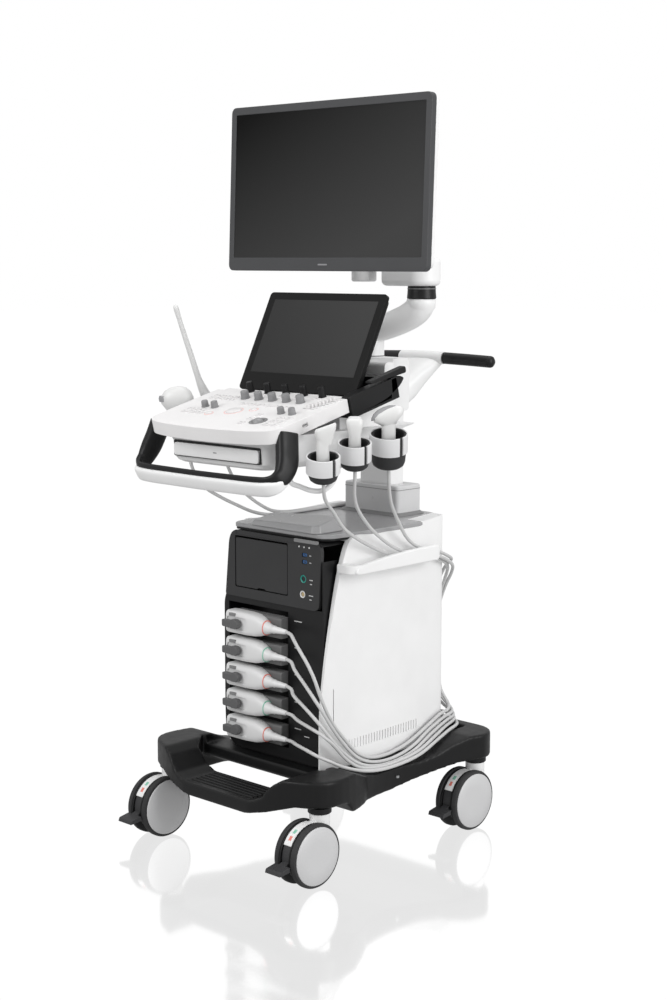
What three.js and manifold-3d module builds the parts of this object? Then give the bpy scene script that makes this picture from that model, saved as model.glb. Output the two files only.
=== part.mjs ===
// Cart-mounted ultrasound machine, in millimetres. The cart frame has +Z up, -Y towards the
// operator and +X to the operator's right, with z = 0 on the floor. The last group moves
// the middle of the footprint box to the origin.
import * as THREE from 'three';
import { mergeVertices } from 'three/addons/utils/BufferGeometryUtils.js';
import Module from 'manifold-3d';

const wasm = await Module();
wasm.setup();

// ---------------------------------------------------------------- driving dimensions
const FOOTPRINT_CENTRE = { x: -16.8, y: 23.9 };
const GAP = 0.4;

const WHEEL = { radius: 62.5, half: 30, tread: 25, inner: 15, disc: 56, trail: 34, axle: 8 };
const CASTER = {
  x: 215, front: -198, rear: 270, stem: 19, flange: 23, top: 147.5, pin: 8, pinTop: 170,
};

const BASE = { half: 247, top: 200, floor: 182, under: 148, rear: 318, corner: 58 };
const TREAD = { half: 95, front: -272, back: -180, top: 147, under: 120 };
const SHELF = { front: -140, half: 182 };

const BODY = { bottom: 183, top: 636, front: -113, rear: 280, half: 143, panel: 158 };
const BAY = { left: -128, right: 44, bottom: 208, top: 486, depth: 60 };
const CONNECTOR = { count: 5, pitch: 54.5, firstZ: 454, height: 47, left: -97, right: 12 };
const DOOR = { left: -104, right: 44, bottom: 521, top: 621, thick: 4, hingeY: -108, hingeZ: 616.5 };
const DECK = { bottom: 638, top: 650 };

const MAST = { half: 43, front: 189.5, rear: 235.5, bottom: 345, top: 866 };
const SHROUD = { half: 77, front: 177, rear: 252, top: 712 };

const CONSOLE = { slope: Math.atan(0.25), half: 182, pivotY: -233, pivotZ: 879, thick: 26 };
const BALL = { u: 92, v: -4, r: 17, sunk: 6 };
const CHEEK_LIFT = 7;
const TRAY = { half: 119, front: -262, back: -70, bottom: 801, top: 826 };
const CUP_X = 232;
const CUPS = [
  { y: -205, r: 31, top: 822, ring: 789, bottom: 772 },
  { y: -120, r: 30, top: 841, ring: 803, bottom: 789 },
  { y: -25, r: 35, top: 851, ring: 812, bottom: 784 },
];

const POST = { x: 0, y: 180, r: 26, bottom: 976.5, top: 1058 };
const ELBOW = { x: 122, y: 196, r: 30, bottom: 1099, top: 1126, cap: 38, lid: 1184 };
const HEAD = { x: -22.6, y: 180, r: 26, bottom: 1133, top: 1192, pin: 8 };
const SCREEN = { x: -22.6, y: 62, z: 1324.8, width: 556, height: 339.5, tilt: 2.3, hump: 36 };
const HINGE = { y: 60, z: -54, pin: 7 };
const TOUCH = { y: -45, z: 923, width: 325, height: 210, tilt: 26.3, depth: 20 };
const PIVOT = { y: 30, z: 50, u: 246.5, v: 9, pin: 5 };

const LEAD_RADIUS = 3.5;

// ---------------------------------------------------------------- finishes
const finish = (color, roughness, metalness = 0) =>
  new THREE.MeshStandardMaterial({ color, roughness, metalness });
const WHITE = finish(0xf0f0f0, 0.4);
const BLACK = finish(0x222324, 0.5);
const CHARCOAL = finish(0x3c3d3f, 0.45);
const GREY = finish(0xa8abac, 0.25);
const PALE_GREY = finish(0xc8cacb, 0.5);
const RUBBER = finish(0x343435, 0.85);
const STEEL = finish(0x9a9c9e, 0.35, 0.8);
const GLASS = finish(0x151617, 0.1);

// ---------------------------------------------------------------- solids
const X = new THREE.Vector3(1, 0, 0);
const Y = new THREE.Vector3(0, 1, 0);
const Z = new THREE.Vector3(0, 0, 1);

function toManifold(geometry) {
  const bare = geometry.clone();
  bare.deleteAttribute('normal');
  bare.deleteAttribute('uv');
  const welded = mergeVertices(bare, 1e-3);
  return new wasm.Manifold(new wasm.Mesh({
    numProp: 3,
    vertProperties: Float32Array.from(welded.attributes.position.array),
    triVerts: Uint32Array.from(welded.index.array),
  }));
}

function toGeometry(manifold) {
  const mesh = manifold.getMesh();
  const geometry = new THREE.BufferGeometry();
  geometry.setAttribute('position', new THREE.BufferAttribute(mesh.vertProperties, mesh.numProp));
  geometry.setIndex(new THREE.BufferAttribute(mesh.triVerts, 1));
  return geometry;
}

function join(...geometries) {
  return toGeometry(geometries.map(toManifold).reduce((a, b) => a.add(b)));
}

function cut(body, ...tools) {
  return toGeometry(tools.map(toManifold).reduce((a, b) => a.subtract(b), toManifold(body)));
}

function mirrored(body) {
  return toGeometry(toManifold(body).mirror([1, 0, 0]));
}

function overlap(a, b) {
  return toGeometry(toManifold(a).intersect(toManifold(b)));
}

function box(x0, x1, y0, y1, z0, z1) {
  const geometry = new THREE.BoxGeometry(x1 - x0, y1 - y0, z1 - z0);
  return geometry.translate((x0 + x1) / 2, (y0 + y1) / 2, (z0 + z1) / 2);
}

function outline(points) {
  return new THREE.Shape(points.map(([u, v]) => new THREE.Vector2(u, v)));
}

function roundedRect(u0, u1, v0, v1, r) {
  const shape = new THREE.Shape();
  shape.moveTo(u0 + r, v0);
  shape.lineTo(u1 - r, v0);
  shape.absarc(u1 - r, v0 + r, r, -Math.PI / 2, 0);
  shape.absarc(u1 - r, v1 - r, r, 0, Math.PI / 2);
  shape.absarc(u0 + r, v1 - r, r, Math.PI / 2, Math.PI);
  shape.absarc(u0 + r, v0 + r, r, Math.PI, 1.5 * Math.PI);
  return shape;
}

function extrude(shape, depth, curveSegments = 4) {
  return new THREE.ExtrudeGeometry(shape, { depth, curveSegments, bevelEnabled: false });
}

// An XY outline lifted from z0 to z1.
function prismZ(shape, z0, z1, segments) {
  return extrude(shape, z1 - z0, segments).translate(0, 0, z0);
}

// An XZ outline run from y0 to y1.
function prismY(shape, y0, y1, segments) {
  const turn = new THREE.Matrix4().makeBasis(X, Z, Y.clone().negate());
  return extrude(shape, y1 - y0, segments).applyMatrix4(turn).translate(0, y1, 0);
}

// A YZ outline run from x0 to x1.
function prismX(shape, x0, x1, segments) {
  const turn = new THREE.Matrix4().makeBasis(Y, Z, X);
  return extrude(shape, x1 - x0, segments).applyMatrix4(turn).translate(x0, 0, 0);
}

// A turned piece about Z from [radius, z] pairs listed from the bottom up.
function turned(profile, segments = 20) {
  const points = profile.map(([r, z]) => new THREE.Vector2(r, z));
  return new THREE.LatheGeometry(points, segments).rotateX(Math.PI / 2);
}

function rod(r, z0, z1, segments = 20) {
  return turned([[0, z0], [r, z0], [r, z1], [0, z1]], segments);
}

function oval(ru, rv, sides) {
  const points = [];
  for (let i = 0; i < sides; i += 1) {
    const angle = (2 * Math.PI * i) / sides;
    points.push([ru * Math.cos(angle), rv * Math.sin(angle)]);
  }
  return outline(points);
}

// A bar of the given section along a smooth route.
function swept(section, route, steps) {
  const points = route.map((p) => new THREE.Vector3(...p));
  const extrudePath = new THREE.CatmullRomCurve3(points, false, 'centripetal');
  return new THREE.ExtrudeGeometry(section, { steps, extrudePath, bevelEnabled: false });
}

const mirroredX = (points) => points.map(([x, ...rest]) => [-x, ...rest]);

const cart = new THREE.Group();

function part(name, geometry, material, parent = cart) {
  const mesh = new THREE.Mesh(geometry, material);
  mesh.name = name;
  parent.add(mesh);
  return mesh;
}

// ---------------------------------------------------------------- casters
function wheelPair() {
  const { radius, half, tread, inner, disc, axle } = WHEEL;
  const side = [[disc, half], [radius, tread], [radius, inner], [radius - 3, inner - 2]];
  const profile = [
    [0, -half],
    ...side.map(([r, x]) => [r, -x]),
    [axle, -(inner - 2)],
    [axle, inner - 2],
    ...side.reverse(),
    [0, half],
  ];
  return turned(profile, 28).rotateY(Math.PI / 2).translate(0, -WHEEL.trail, radius);
}

function casterFork() {
  const shell = new THREE.Shape();
  shell.absarc(-WHEEL.trail, WHEEL.radius, 57, 0, Math.PI, false);
  shell.lineTo(-WHEEL.trail - 57, WHEEL.radius - 10);
  shell.absarc(-WHEEL.trail, WHEEL.radius, 22, Math.PI, 2 * Math.PI, false);
  const plate = prismX(shell, -12, 12, 14);
  const neck = box(-12, 12, -22, 17, 96, 128);
  const bore = rod(WHEEL.axle + 0.6, -20, 20, 16).rotateY(Math.PI / 2);
  const pedalSlot = box(-9.5, 9.5, -104, -68, 30, 67);
  const { stem, flange, top, pin, pinTop } = CASTER;
  const post = turned([
    [0, 126], [stem, 126], [stem, 137], [flange, 138], [flange, top], [pin, top], [pin, pinTop],
    [0, pinTop],
  ]);
  return join(cut(plate, bore.translate(0, -WHEEL.trail, WHEEL.radius), pedalSlot), neck, post);
}

function brakePedal() {
  const arm = outline([
    [-72, 64], [-84, 64], [-101, 55], [-124, 50.5], [-126, 44], [-101, 46], [-84, 52], [-72, 52],
  ]);
  const lever = prismX(arm, -8.5, 8.5);
  const toe = prismX(outline([[-100, 55.5], [-124, 51], [-126, 43.5], [-100, 46]]), -20, 20);
  return join(lever, toe);
}

function casters() {
  const corners = [
    ['front_right', CASTER.x, CASTER.front],
    ['front_left', -CASTER.x, CASTER.front],
    ['rear_right', CASTER.x, CASTER.rear],
    ['rear_left', -CASTER.x, CASTER.rear],
  ];
  for (const [corner, x, y] of corners) {
    const caster = new THREE.Group();
    caster.position.set(x, y, 0);
    part(`caster_fork_${corner}`, casterFork(), WHITE, caster);
    part(`caster_wheels_${corner}`, wheelPair(), RUBBER, caster);
    part(`brake_pedal_${corner}`, brakePedal(), CHARCOAL, caster);
    cart.add(caster);
  }
}

// ---------------------------------------------------------------- base
function baseFrame() {
  const { half, rear, corner } = BASE;
  const plan = new THREE.Shape();
  plan.moveTo(-TREAD.half, TREAD.front);
  plan.lineTo(TREAD.half, TREAD.front);
  plan.quadraticCurveTo(150, TREAD.front + 6, 205, -238);
  plan.quadraticCurveTo(half + 4, -218, half, -170);
  plan.quadraticCurveTo(half - 4, -110, 212, -60);
  plan.quadraticCurveTo(194, 10, 206, 90);
  plan.quadraticCurveTo(216, 160, half, rear - corner);
  plan.absarc(half - corner, rear - corner, corner, 0, Math.PI / 2);
  plan.absarc(corner - half, rear - corner, corner, Math.PI / 2, Math.PI);
  plan.quadraticCurveTo(-216, 160, -206, 90);
  plan.quadraticCurveTo(-194, 10, -212, -60);
  plan.quadraticCurveTo(4 - half, -110, -half, -170);
  plan.quadraticCurveTo(-half - 4, -218, -205, -238);
  plan.quadraticCurveTo(-150, TREAD.front + 6, -TREAD.half, TREAD.front);
  const blank = prismZ(plan, TREAD.under - 5, BASE.top + 5, 5);

  const side = outline([
    [-150, BASE.top], [325, BASE.top], [325, BASE.under], [200, BASE.under],
    [110, 136], [20, 124], [-130, 124], [-150, BASE.under],
  ]);
  const waist = prismX(outline([
    [-125, 200.5], [-70, 178], [-20, 168], [105, 168], [150, 176], [186, 190], [232, 200.5],
  ]), 166, 260);
  const ramp = (s) => [
    [s * TREAD.half, TREAD.top], [s * 122, 158], [s * 146, 186], [s * 168, BASE.top],
    [s * 260, BASE.top], [s * 260, BASE.under], [s * 190, BASE.under], [s * 130, 130],
    [s * 85, TREAD.under],
  ];
  const [rightRamp, leftRamp] = [ramp(1), ramp(-1)];
  const front = outline([
    ...leftRamp.slice(0, 5).reverse(), ...rightRamp, ...leftRamp.slice(5).reverse(),
  ]);
  const levels = join(prismX(side, -260, 260), prismY(front, -300, -149));
  const opening = outline([
    [-SHELF.half, SHELF.front], [-150, TREAD.back], [150, TREAD.back], [SHELF.half, SHELF.front],
  ]);
  const toeSpace = prismX(outline([
    [-160, 100], [-160, 158], [-140, 158], [-125, 152], [-60, 123], [-60, 100],
  ]), -185, 185);
  const bores = [];
  for (const x of [-CASTER.x, CASTER.x]) {
    for (const y of [CASTER.front, CASTER.rear]) {
      bores.push(rod(8.6, 140, 174, 12).translate(x, y, 0));
    }
  }
  return cut(
    overlap(blank, levels),
    prismZ(opening, 100, 220),
    toeSpace,
    box(-172, 172, SHELF.front - 5, 288, BASE.floor, 220),
    waist,
    mirrored(waist),
    ...bores,
  );
}

// ---------------------------------------------------------------- body
function frontHousing() {
  const { half, bottom, top, front } = BODY;
  const right = [
    [128, bottom], [138, 190], [half - 3, 230], [half, 400], [half - 4, 560], [134, top - 4],
  ];
  const face = outline([...right, ...mirroredX(right).reverse()]);
  return cut(
    prismY(face, front, -20),
    box(BAY.left, BAY.right, front - 5, front + BAY.depth, BAY.bottom, BAY.top),
    box(-110, 138, front - 5, -30, 500, top - 10),
  );
}

function portPanel() {
  const { front } = BODY;
  const plate = prismY(roundedRect(-109, 137.5, 500.5, BODY.top - 10.5, 5), front, front + 10, 2);
  const { left, right, bottom, top } = DOOR;
  const doorway = box(left - 2, right + 2, front - 5, front + 15, bottom - 2, top + 2.5);
  const usb = (z) => box(86, 100, front - 5, front + 8, z - 3, z + 3);
  const round = (z, r) => rod(r, -8, 5, 16).rotateX(Math.PI / 2).translate(90, front, z);
  return cut(plate, doorway, usb(607), usb(593), round(559, 8), round(528, 7));
}

function printerDoor() {
  const { left, right, bottom, top, thick, hingeY, hingeZ } = DOOR;
  const leaf = prismY(roundedRect(left, right, bottom, top, 3), BODY.front, BODY.front + thick, 2);
  const barrel = rod(2.5, left + 3, right - 3, 10).rotateY(Math.PI / 2);
  return join(leaf, barrel.translate(0, hingeY, hingeZ));
}

function thermalPrinter() {
  const body = box(-98, 38, -96, -34, 524, 612);
  return cut(body, box(-84, 24, -99, -60, 560, 604));
}

// The wrap-round side skin: a moulded bow, hollowed on the inside.
function sideSkin() {
  const { panel, bottom } = BODY;
  const edge = new THREE.Shape();
  edge.moveTo(-128, bottom + 1);
  edge.lineTo(-127, 330);
  edge.quadraticCurveTo(-110, 470, -84, 560);
  edge.quadraticCurveTo(-60, 648, -34, 654);
  edge.lineTo(210, 668);
  edge.lineTo(246, 668);
  edge.lineTo(246, bottom + 1);
  edge.closePath();
  const side = prismX(edge, 120, panel + 10, 5);
  const plan = new THREE.Shape();
  plan.moveTo(120, -140);
  plan.lineTo(146, -140);
  plan.quadraticCurveTo(panel + 4, -60, panel + 6, 40);
  plan.quadraticCurveTo(panel + 4, 130, panel - 4, 190);
  plan.quadraticCurveTo(150, 235, 128, 250);
  plan.lineTo(120, 250);
  plan.closePath();
  const skin = overlap(side, prismZ(plan, bottom, 680, 6));
  const hollow = cut(skin, box(100, BODY.half + 1.5, -150, 241, bottom - 5, 633));
  return cut(hollow, box(110, 200, -140, 260, 636, 700));
}

// The hook that gathers the leads, on the right side only.
function leadHook() {
  const stub = outline([[150, -95], [193, -95], [198, -88], [198, -72], [150, -72]]);
  return join(prismZ(stub, 574, 602), box(185, 198, -90, 172, 574, 604));
}

function rearCover() {
  const { rear, bottom, half } = BODY;
  const plan = new THREE.Shape();
  plan.moveTo(-(half - 24), 251);
  plan.quadraticCurveTo(-112, rear, -70, rear);
  plan.lineTo(70, rear);
  plan.quadraticCurveTo(112, rear, half - 24, 251);
  plan.closePath();
  const shell = prismZ(plan, bottom + 2, 636, 4);
  return cut(shell, box(-96, 96, 240, rear - 6, bottom + 10, 640));
}

function topDeck() {
  const plan = new THREE.Shape();
  plan.moveTo(-128, -108);
  plan.lineTo(128, -108);
  plan.lineTo(146, -90);
  plan.lineTo(161, 30);
  plan.lineTo(160, 180);
  plan.quadraticCurveTo(156, 246, 100, 276);
  plan.lineTo(-100, 276);
  plan.quadraticCurveTo(-156, 246, -160, 180);
  plan.lineTo(-161, 30);
  plan.lineTo(-146, -90);
  plan.closePath();
  const plate = prismZ(plan, DECK.bottom, DECK.top, 4);
  const { half, front, rear } = SHROUD;
  return cut(plate, box(-half - GAP, half + GAP, front - GAP, rear + GAP, 600, 700));
}

// The fixed guide of the lift with its cover on the deck.
function columnOuter() {
  const { half, front, rear, top } = SHROUD;
  const cover = prismZ(roundedRect(-half, half, front, rear, 8), 560, top, 2);
  const guide = box(-52, 52, 181, 244, 330, 565);
  const bore = box(-MAST.half - 1, MAST.half + 1, MAST.front - 1, MAST.rear + 1, 320, top + 5);
  return cut(join(cover, guide), bore);
}

function cardCage() {
  const cage = box(-118, 118, -19, 168, 196, 440);
  return cut(cage, box(-108, 108, -25, 150, 206, 430));
}

function powerSupply() {
  const can = box(-112, 112, 20, 165, 462, 610);
  return cut(can, box(-60, 60, 12, 40, 500, 580));
}

// ---------------------------------------------------------------- connectors
function transducerConnector() {
  const { left, right, height } = CONNECTOR;
  const h = height / 2;
  const shell = prismY(roundedRect(left, right, -h, h, 7), BODY.front - 38, BODY.front - 0.5, 2);
  const nose = new THREE.CylinderGeometry(8, 20, 24, 12).rotateZ(-Math.PI / 2).scale(1, 0.5, 1);
  const relief = new THREE.CylinderGeometry(4.5, 8, 36, 12).rotateZ(-Math.PI / 2);
  const plug = box(left + 4, right - 4, BODY.front - 5, BODY.front + 44, 4 - h, h - 4);
  return join(
    shell,
    plug,
    nose.translate(right + 10, BODY.front - 28, 0),
    relief.translate(right + 38, BODY.front - 28, 0),
  );
}

function lockLever() {
  const { left } = CONNECTOR;
  const wing = prismY(roundedRect(left + 2, left + 50, -9, 9, 7), BODY.front - 52, BODY.front - 40, 3);
  const boss = rod(7, -40.5, -38.4, 12).rotateX(Math.PI / 2);
  return join(wing, boss.translate(left + 26, BODY.front - 78.9, 0));
}

function connectors() {
  for (let i = 0; i < CONNECTOR.count; i += 1) {
    const row = new THREE.Group();
    row.position.z = CONNECTOR.firstZ - i * CONNECTOR.pitch;
    part(`transducer_connector_${i + 1}`, transducerConnector(), PALE_GREY, row);
    part(`lock_lever_${i + 1}`, lockLever(), CHARCOAL, row);
    cart.add(row);
  }
}

// ---------------------------------------------------------------- console
// Turns a piece drawn flat about the console's front hinge line up to its working slope.
function sloped(geometry) {
  return geometry.rotateX(CONSOLE.slope).translate(0, CONSOLE.pivotY, CONSOLE.pivotZ);
}

function consoleShell() {
  const { half, thick } = CONSOLE;
  const plan = new THREE.Shape();
  plan.moveTo(-half, 148);
  plan.lineTo(-half, 0);
  plan.quadraticCurveTo(-half, -52, -124, -60);
  plan.quadraticCurveTo(0, -72, 124, -60);
  plan.quadraticCurveTo(half, -52, half, 0);
  plan.lineTo(half, 148);
  plan.closePath();
  const slab = sloped(prismZ(plan, -thick, 0, 6));
  const ballSeat = rod(BALL.r + 1.5, -24.5, 5, 20).translate(BALL.u, BALL.v, 0);
  return cut(slab, sloped(ballSeat));
}

// The lower casing: drawer bay in front, lift head behind, one hollow moulding.
function consoleUnder() {
  const side = outline([
    [-258, 776], [-248, 847], [-92, 886], [-88, 873], [62, 908], [67, 976], [240, 976],
    [246, 960], [246, 866], [150, 862], [60, 838], [-40, 776],
  ]);
  const flank = outline([[-138, 800], [-126, 776], [126, 776], [138, 800], [138, 980], [-138, 980]]);
  const casing = overlap(prismX(side, -138, 138), prismY(flank, -300, 300));
  const bay = box(-TRAY.half - 2, TRAY.half + 2, -300, -66, TRAY.bottom - 2, TRAY.top + 2);
  return cut(casing, bay);
}

function keyboardDrawer() {
  const { half, front, back, bottom, top } = TRAY;
  const tray = box(-half, half, front, back, bottom, top - 1);
  return cut(tray, box(-half + 6, half - 6, front + 8, back - 6, bottom + 8, top + 5));
}

function trackball() {
  const ball = new THREE.SphereGeometry(BALL.r, 16, 10).translate(BALL.u, BALL.v, -BALL.sunk);
  return sloped(ball);
}

function frontHandle() {
  const half = [
    [186, -206, 846], [187, -232, 820], [190, -262, 798], [185, -286, 782],
    [158, -294, 777], [80, -297, 776],
  ];
  const route = [...mirroredX(half), [0, -297.5, 776], ...half.slice().reverse()];
  return swept(oval(15, 13, 8), route, 36);
}

// Black cheeks, floor and pivot ears that carry the touch screen.
function touchBase() {
  const wing = outline([
    [152, 0], [168, 4], [318, 4], [318, -14], [300, -26], [290, -45], [152, -45],
  ]);
  const cheek = prismX(wing, 164.5, 188);
  const floor = outline([[152, -45], [290, -45], [290, 0], [268, 0], [262, -37], [152, -37]]);
  const ear = new THREE.Shape();
  ear.moveTo(PIVOT.u - 8.5, -40);
  ear.lineTo(PIVOT.u + 8.5, -40);
  ear.lineTo(PIVOT.u + 8.5, PIVOT.v);
  ear.absarc(PIVOT.u, PIVOT.v, 8.5, 0, Math.PI);
  ear.closePath();
  const rightEar = prismX(ear, 62, 74, 5);
  const bore = rod(PIVOT.pin + 0.5, -80, 80, 12).rotateY(Math.PI / 2);
  const solid = join(cheek, mirrored(cheek), prismX(floor, -188, 188), rightEar, mirrored(rightEar));
  return sloped(cut(solid, bore.translate(0, PIVOT.u, PIVOT.v))).translate(0, 0, CHEEK_LIFT);
}

function touchScreen() {
  const { width, height, tilt, depth } = TOUCH;
  const w = width / 2;
  const glass = prismY(roundedRect(-w, w, 0, height, 8), 0, 9, 3);
  const back = prismY(roundedRect(-w + 6, w - 6, 8, height - 6, 8), 8, depth, 2);
  const lug = prismX(outline([[19, 30], [34, 40], [34, 62], [19, 90]]), -60, 60);
  const pin = rod(PIVOT.pin, -76, 76, 12).rotateY(Math.PI / 2).translate(0, PIVOT.y, PIVOT.z);
  const screen = join(glass, back, lug, pin);
  return screen.rotateX(-THREE.MathUtils.degToRad(tilt)).translate(0, TOUCH.y, TOUCH.z);
}

function rearHandle() {
  const flare = new THREE.Shape();
  flare.moveTo(-26, 868);
  flare.quadraticCurveTo(-30, 925, -51, 970);
  flare.lineTo(-51, 978);
  flare.lineTo(51, 978);
  flare.lineTo(51, 970);
  flare.quadraticCurveTo(30, 925, 26, 868);
  flare.closePath();
  const side = outline([
    [247, 868], [262, 866], [300, 902], [352, 950], [358, 972], [340, 982], [312, 972],
    [276, 930], [247, 905],
  ]);
  const bracket = overlap(prismY(flare, 240, 370, 5), prismX(side, -60, 60));
  const half = [[178, 360, 966], [120, 352, 969], [60, 342, 971]];
  const route = [...mirroredX(half), [0, 338, 972], ...half.slice().reverse()];
  return join(bracket, swept(oval(12.5, 12.5, 10), route, 16));
}

// ---------------------------------------------------------------- probe holders
function cup({ y, r, top, ring, bottom }) {
  const wall = turned([
    [9, bottom], [r - 10, bottom], [r - 5, bottom + 8], [r - 5, ring], [r, ring], [r, top],
    [r - 6, top], [r - 9, bottom + 12], [9, bottom + 6], [9, bottom],
  ], 20);
  const slit = box(r - 14, r + 4, -4, 4, bottom - 4, top + 4).rotateZ(0.9);
  const mouth = box(0, r, -4, 4, bottom - 4, bottom + 14).rotateZ(0.9);
  return cut(wall, slit, mouth).translate(CUP_X, y, 0);
}

function holder(cups, rail) {
  const plate = prismX(outline(rail), 192, 203);
  return join(...cups.map(cup), plate);
}

function holders() {
  const rail = [[-206, 800], [-8, 846], [-8, 822], [-60, 806], [-150, 780], [-206, 778]];
  part('probe_holder_right', holder(CUPS, rail), PALE_GREY);
  const shortRail = [[-120, 822], [-8, 846], [-8, 822], [-60, 800], [-120, 796]];
  part('probe_holder_left', mirrored(holder(CUPS.slice(1), shortRail)), PALE_GREY);
}

// The J hook for spare leads under the right front of the console.
function cableHook() {
  const route = [
    [176, -244, 775], [186, -224, 764], [204, -206, 752], [224, -190, 756],
    [232, -176, 772], [232, -166, 788],
  ];
  return swept(oval(4.5, 4.5, 8), route, 14);
}

// ---------------------------------------------------------------- probes
// A probe grip: an oval turned handle that stands in its cup.
function grip(top, bottom, wide, deep) {
  const handle = turned([
    [0, bottom], [7, bottom], [9, bottom + 10], [13, bottom + 22], [14, top - 12], [11, top],
    [0, top],
  ], 14);
  return handle.scale(wide / 14, deep / 14, 1);
}

function linearProbe() {
  const head = prismY(roundedRect(-24, 24, 0, 34, 7), -9, 9, 2);
  const body = join(grip(856, 788, 12, 10), head.translate(0, 0, 842));
  return body.rotateZ(0.75).translate(CUP_X, CUPS[0].y, 0);
}

function phasedProbe() {
  const head = prismY(roundedRect(-14, 14, 0, 26, 7), -11, 11, 2);
  const body = join(grip(872, 806, 12, 11), head.translate(0, 0, 856));
  return body.rotateZ(0.75).translate(CUP_X, CUPS[1].y, 0);
}

function convexHead(z) {
  const fan = new THREE.Shape();
  fan.moveTo(-12, 0);
  fan.lineTo(12, 0);
  fan.lineTo(30, 22);
  fan.quadraticCurveTo(0, 46, -30, 22);
  fan.closePath();
  return prismY(fan, -12, 12, 5).translate(0, 0, z);
}

function convexProbe(x, { y, bottom, top }) {
  const body = join(grip(top + 26, bottom + 16, 14, 12), convexHead(top + 10));
  return body.rotateZ(0.75).translate(x, y, 0);
}

function cavityProbe(x, { y, bottom, top }) {
  const handle = grip(top + 30, bottom + 16, 12, 12);
  const wand = turned([[0, 0], [8, 0], [6.5, 40], [6.5, 215], [11, 235], [10, 255], [0, 262]], 12);
  return join(handle, wand.rotateX(0.36).translate(0, 0, top + 14)).translate(x, y, 0);
}

function probes() {
  part('probe_linear', linearProbe(), WHITE);
  part('probe_phased', phasedProbe(), WHITE);
  part('probe_convex', convexProbe(CUP_X, CUPS[2]), WHITE);
  part('probe_wide_convex', convexProbe(-CUP_X, CUPS[1]), WHITE);
  part('probe_cavity', cavityProbe(-CUP_X, CUPS[2]), WHITE);
}

// ---------------------------------------------------------------- monitor arm
function armLower() {
  const post = rod(POST.r, POST.bottom, POST.top, 20).translate(POST.x, POST.y, 0);
  const beam = swept(oval(28, 24, 12), [
    [-6, 180, 1032], [40, 184, 1036], [84, 190, 1048], [110, 195, 1062], [121, 196, 1084],
  ], 12);
  const neck = rod(ELBOW.r - 1, 1078, ELBOW.bottom - GAP, 20).translate(ELBOW.x, ELBOW.y, 0);
  return join(post, beam, neck);
}

// A round-ended beam with a tongue that goes into the slot of the mount's barrel.
function armUpper() {
  const { x, y, r, bottom, top, cap, lid } = ELBOW;
  const collar = turned([[0, bottom], [r, bottom], [r - 2, top], [0, top]], 20).translate(x, y, 0);
  const plan = new THREE.Shape();
  plan.moveTo(40, y - cap);
  plan.lineTo(x, y - cap);
  plan.absarc(x, y, cap, -Math.PI / 2, Math.PI / 2);
  plan.lineTo(44, y + 18);
  plan.closePath();
  const beam = prismZ(plan, top - 1, lid, 10);
  const tongue = prismZ(roundedRect(HEAD.x - 18, 60, HEAD.y - 17, HEAD.y + 17, 12), 1158, 1176, 3);
  const bore = rod(HEAD.pin + 0.5, 1150, 1180, 16).translate(HEAD.x, HEAD.y, 0);
  return cut(join(collar, beam, tongue), bore);
}

// A place on the monitor, from its own axes to the cart frame.
function onMonitor(y, z) {
  const place = new THREE.Vector3(0, y, z).applyAxisAngle(X, -THREE.MathUtils.degToRad(SCREEN.tilt));
  return place.add(new THREE.Vector3(SCREEN.x, SCREEN.y, SCREEN.z));
}

function monitorMount() {
  const { x, y, r, bottom, top, pin } = HEAD;
  const barrel = turned([
    [0, bottom], [r, bottom], [r, 1157.5], [pin, 1157.5], [pin, 1176.5], [r, 1176.5], [r, top],
    [0, top],
  ], 20);
  const hinge = onMonitor(HINGE.y, HINGE.z);
  const [front, back] = [hinge.y - 9, hinge.y + 9];
  const hingePin = rod(HINGE.pin, -39, 39, 12).rotateY(Math.PI / 2);
  return join(
    barrel.translate(x, y, 0),
    box(x - 24, x + 24, front, y, 1177, top),
    box(x - 24, x + 24, front, back, 1177, hinge.z + 10),
    hingePin.translate(hinge.x, hinge.y, hinge.z),
  );
}

function monitor() {
  const { x, y, z, width, height, tilt, hump } = SCREEN;
  const [w, h] = [width / 2, height / 2];
  const bezel = prismY(roundedRect(-w, w, -h, h, 12), 0, 14, 3);
  const back = prismY(roundedRect(-w + 8, w - 8, -h + 8, h - 8, 14), 13, 28, 2);
  const middle = prismY(roundedRect(-90, 90, -96, 60, 16), 27, hump, 2);
  const ear = (u) => box(u, u + 7, hump - 2, HINGE.y + 12, HINGE.z - 12, HINGE.z + 12);
  const bore = rod(HINGE.pin + 0.5, -50, 50, 12).rotateY(Math.PI / 2);
  const solid = join(bezel, back, middle, ear(-37), ear(30));
  const screen = cut(solid, bore.translate(0, HINGE.y, HINGE.z));
  return screen.rotateX(-THREE.MathUtils.degToRad(tilt)).translate(x, y, z);
}

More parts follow.
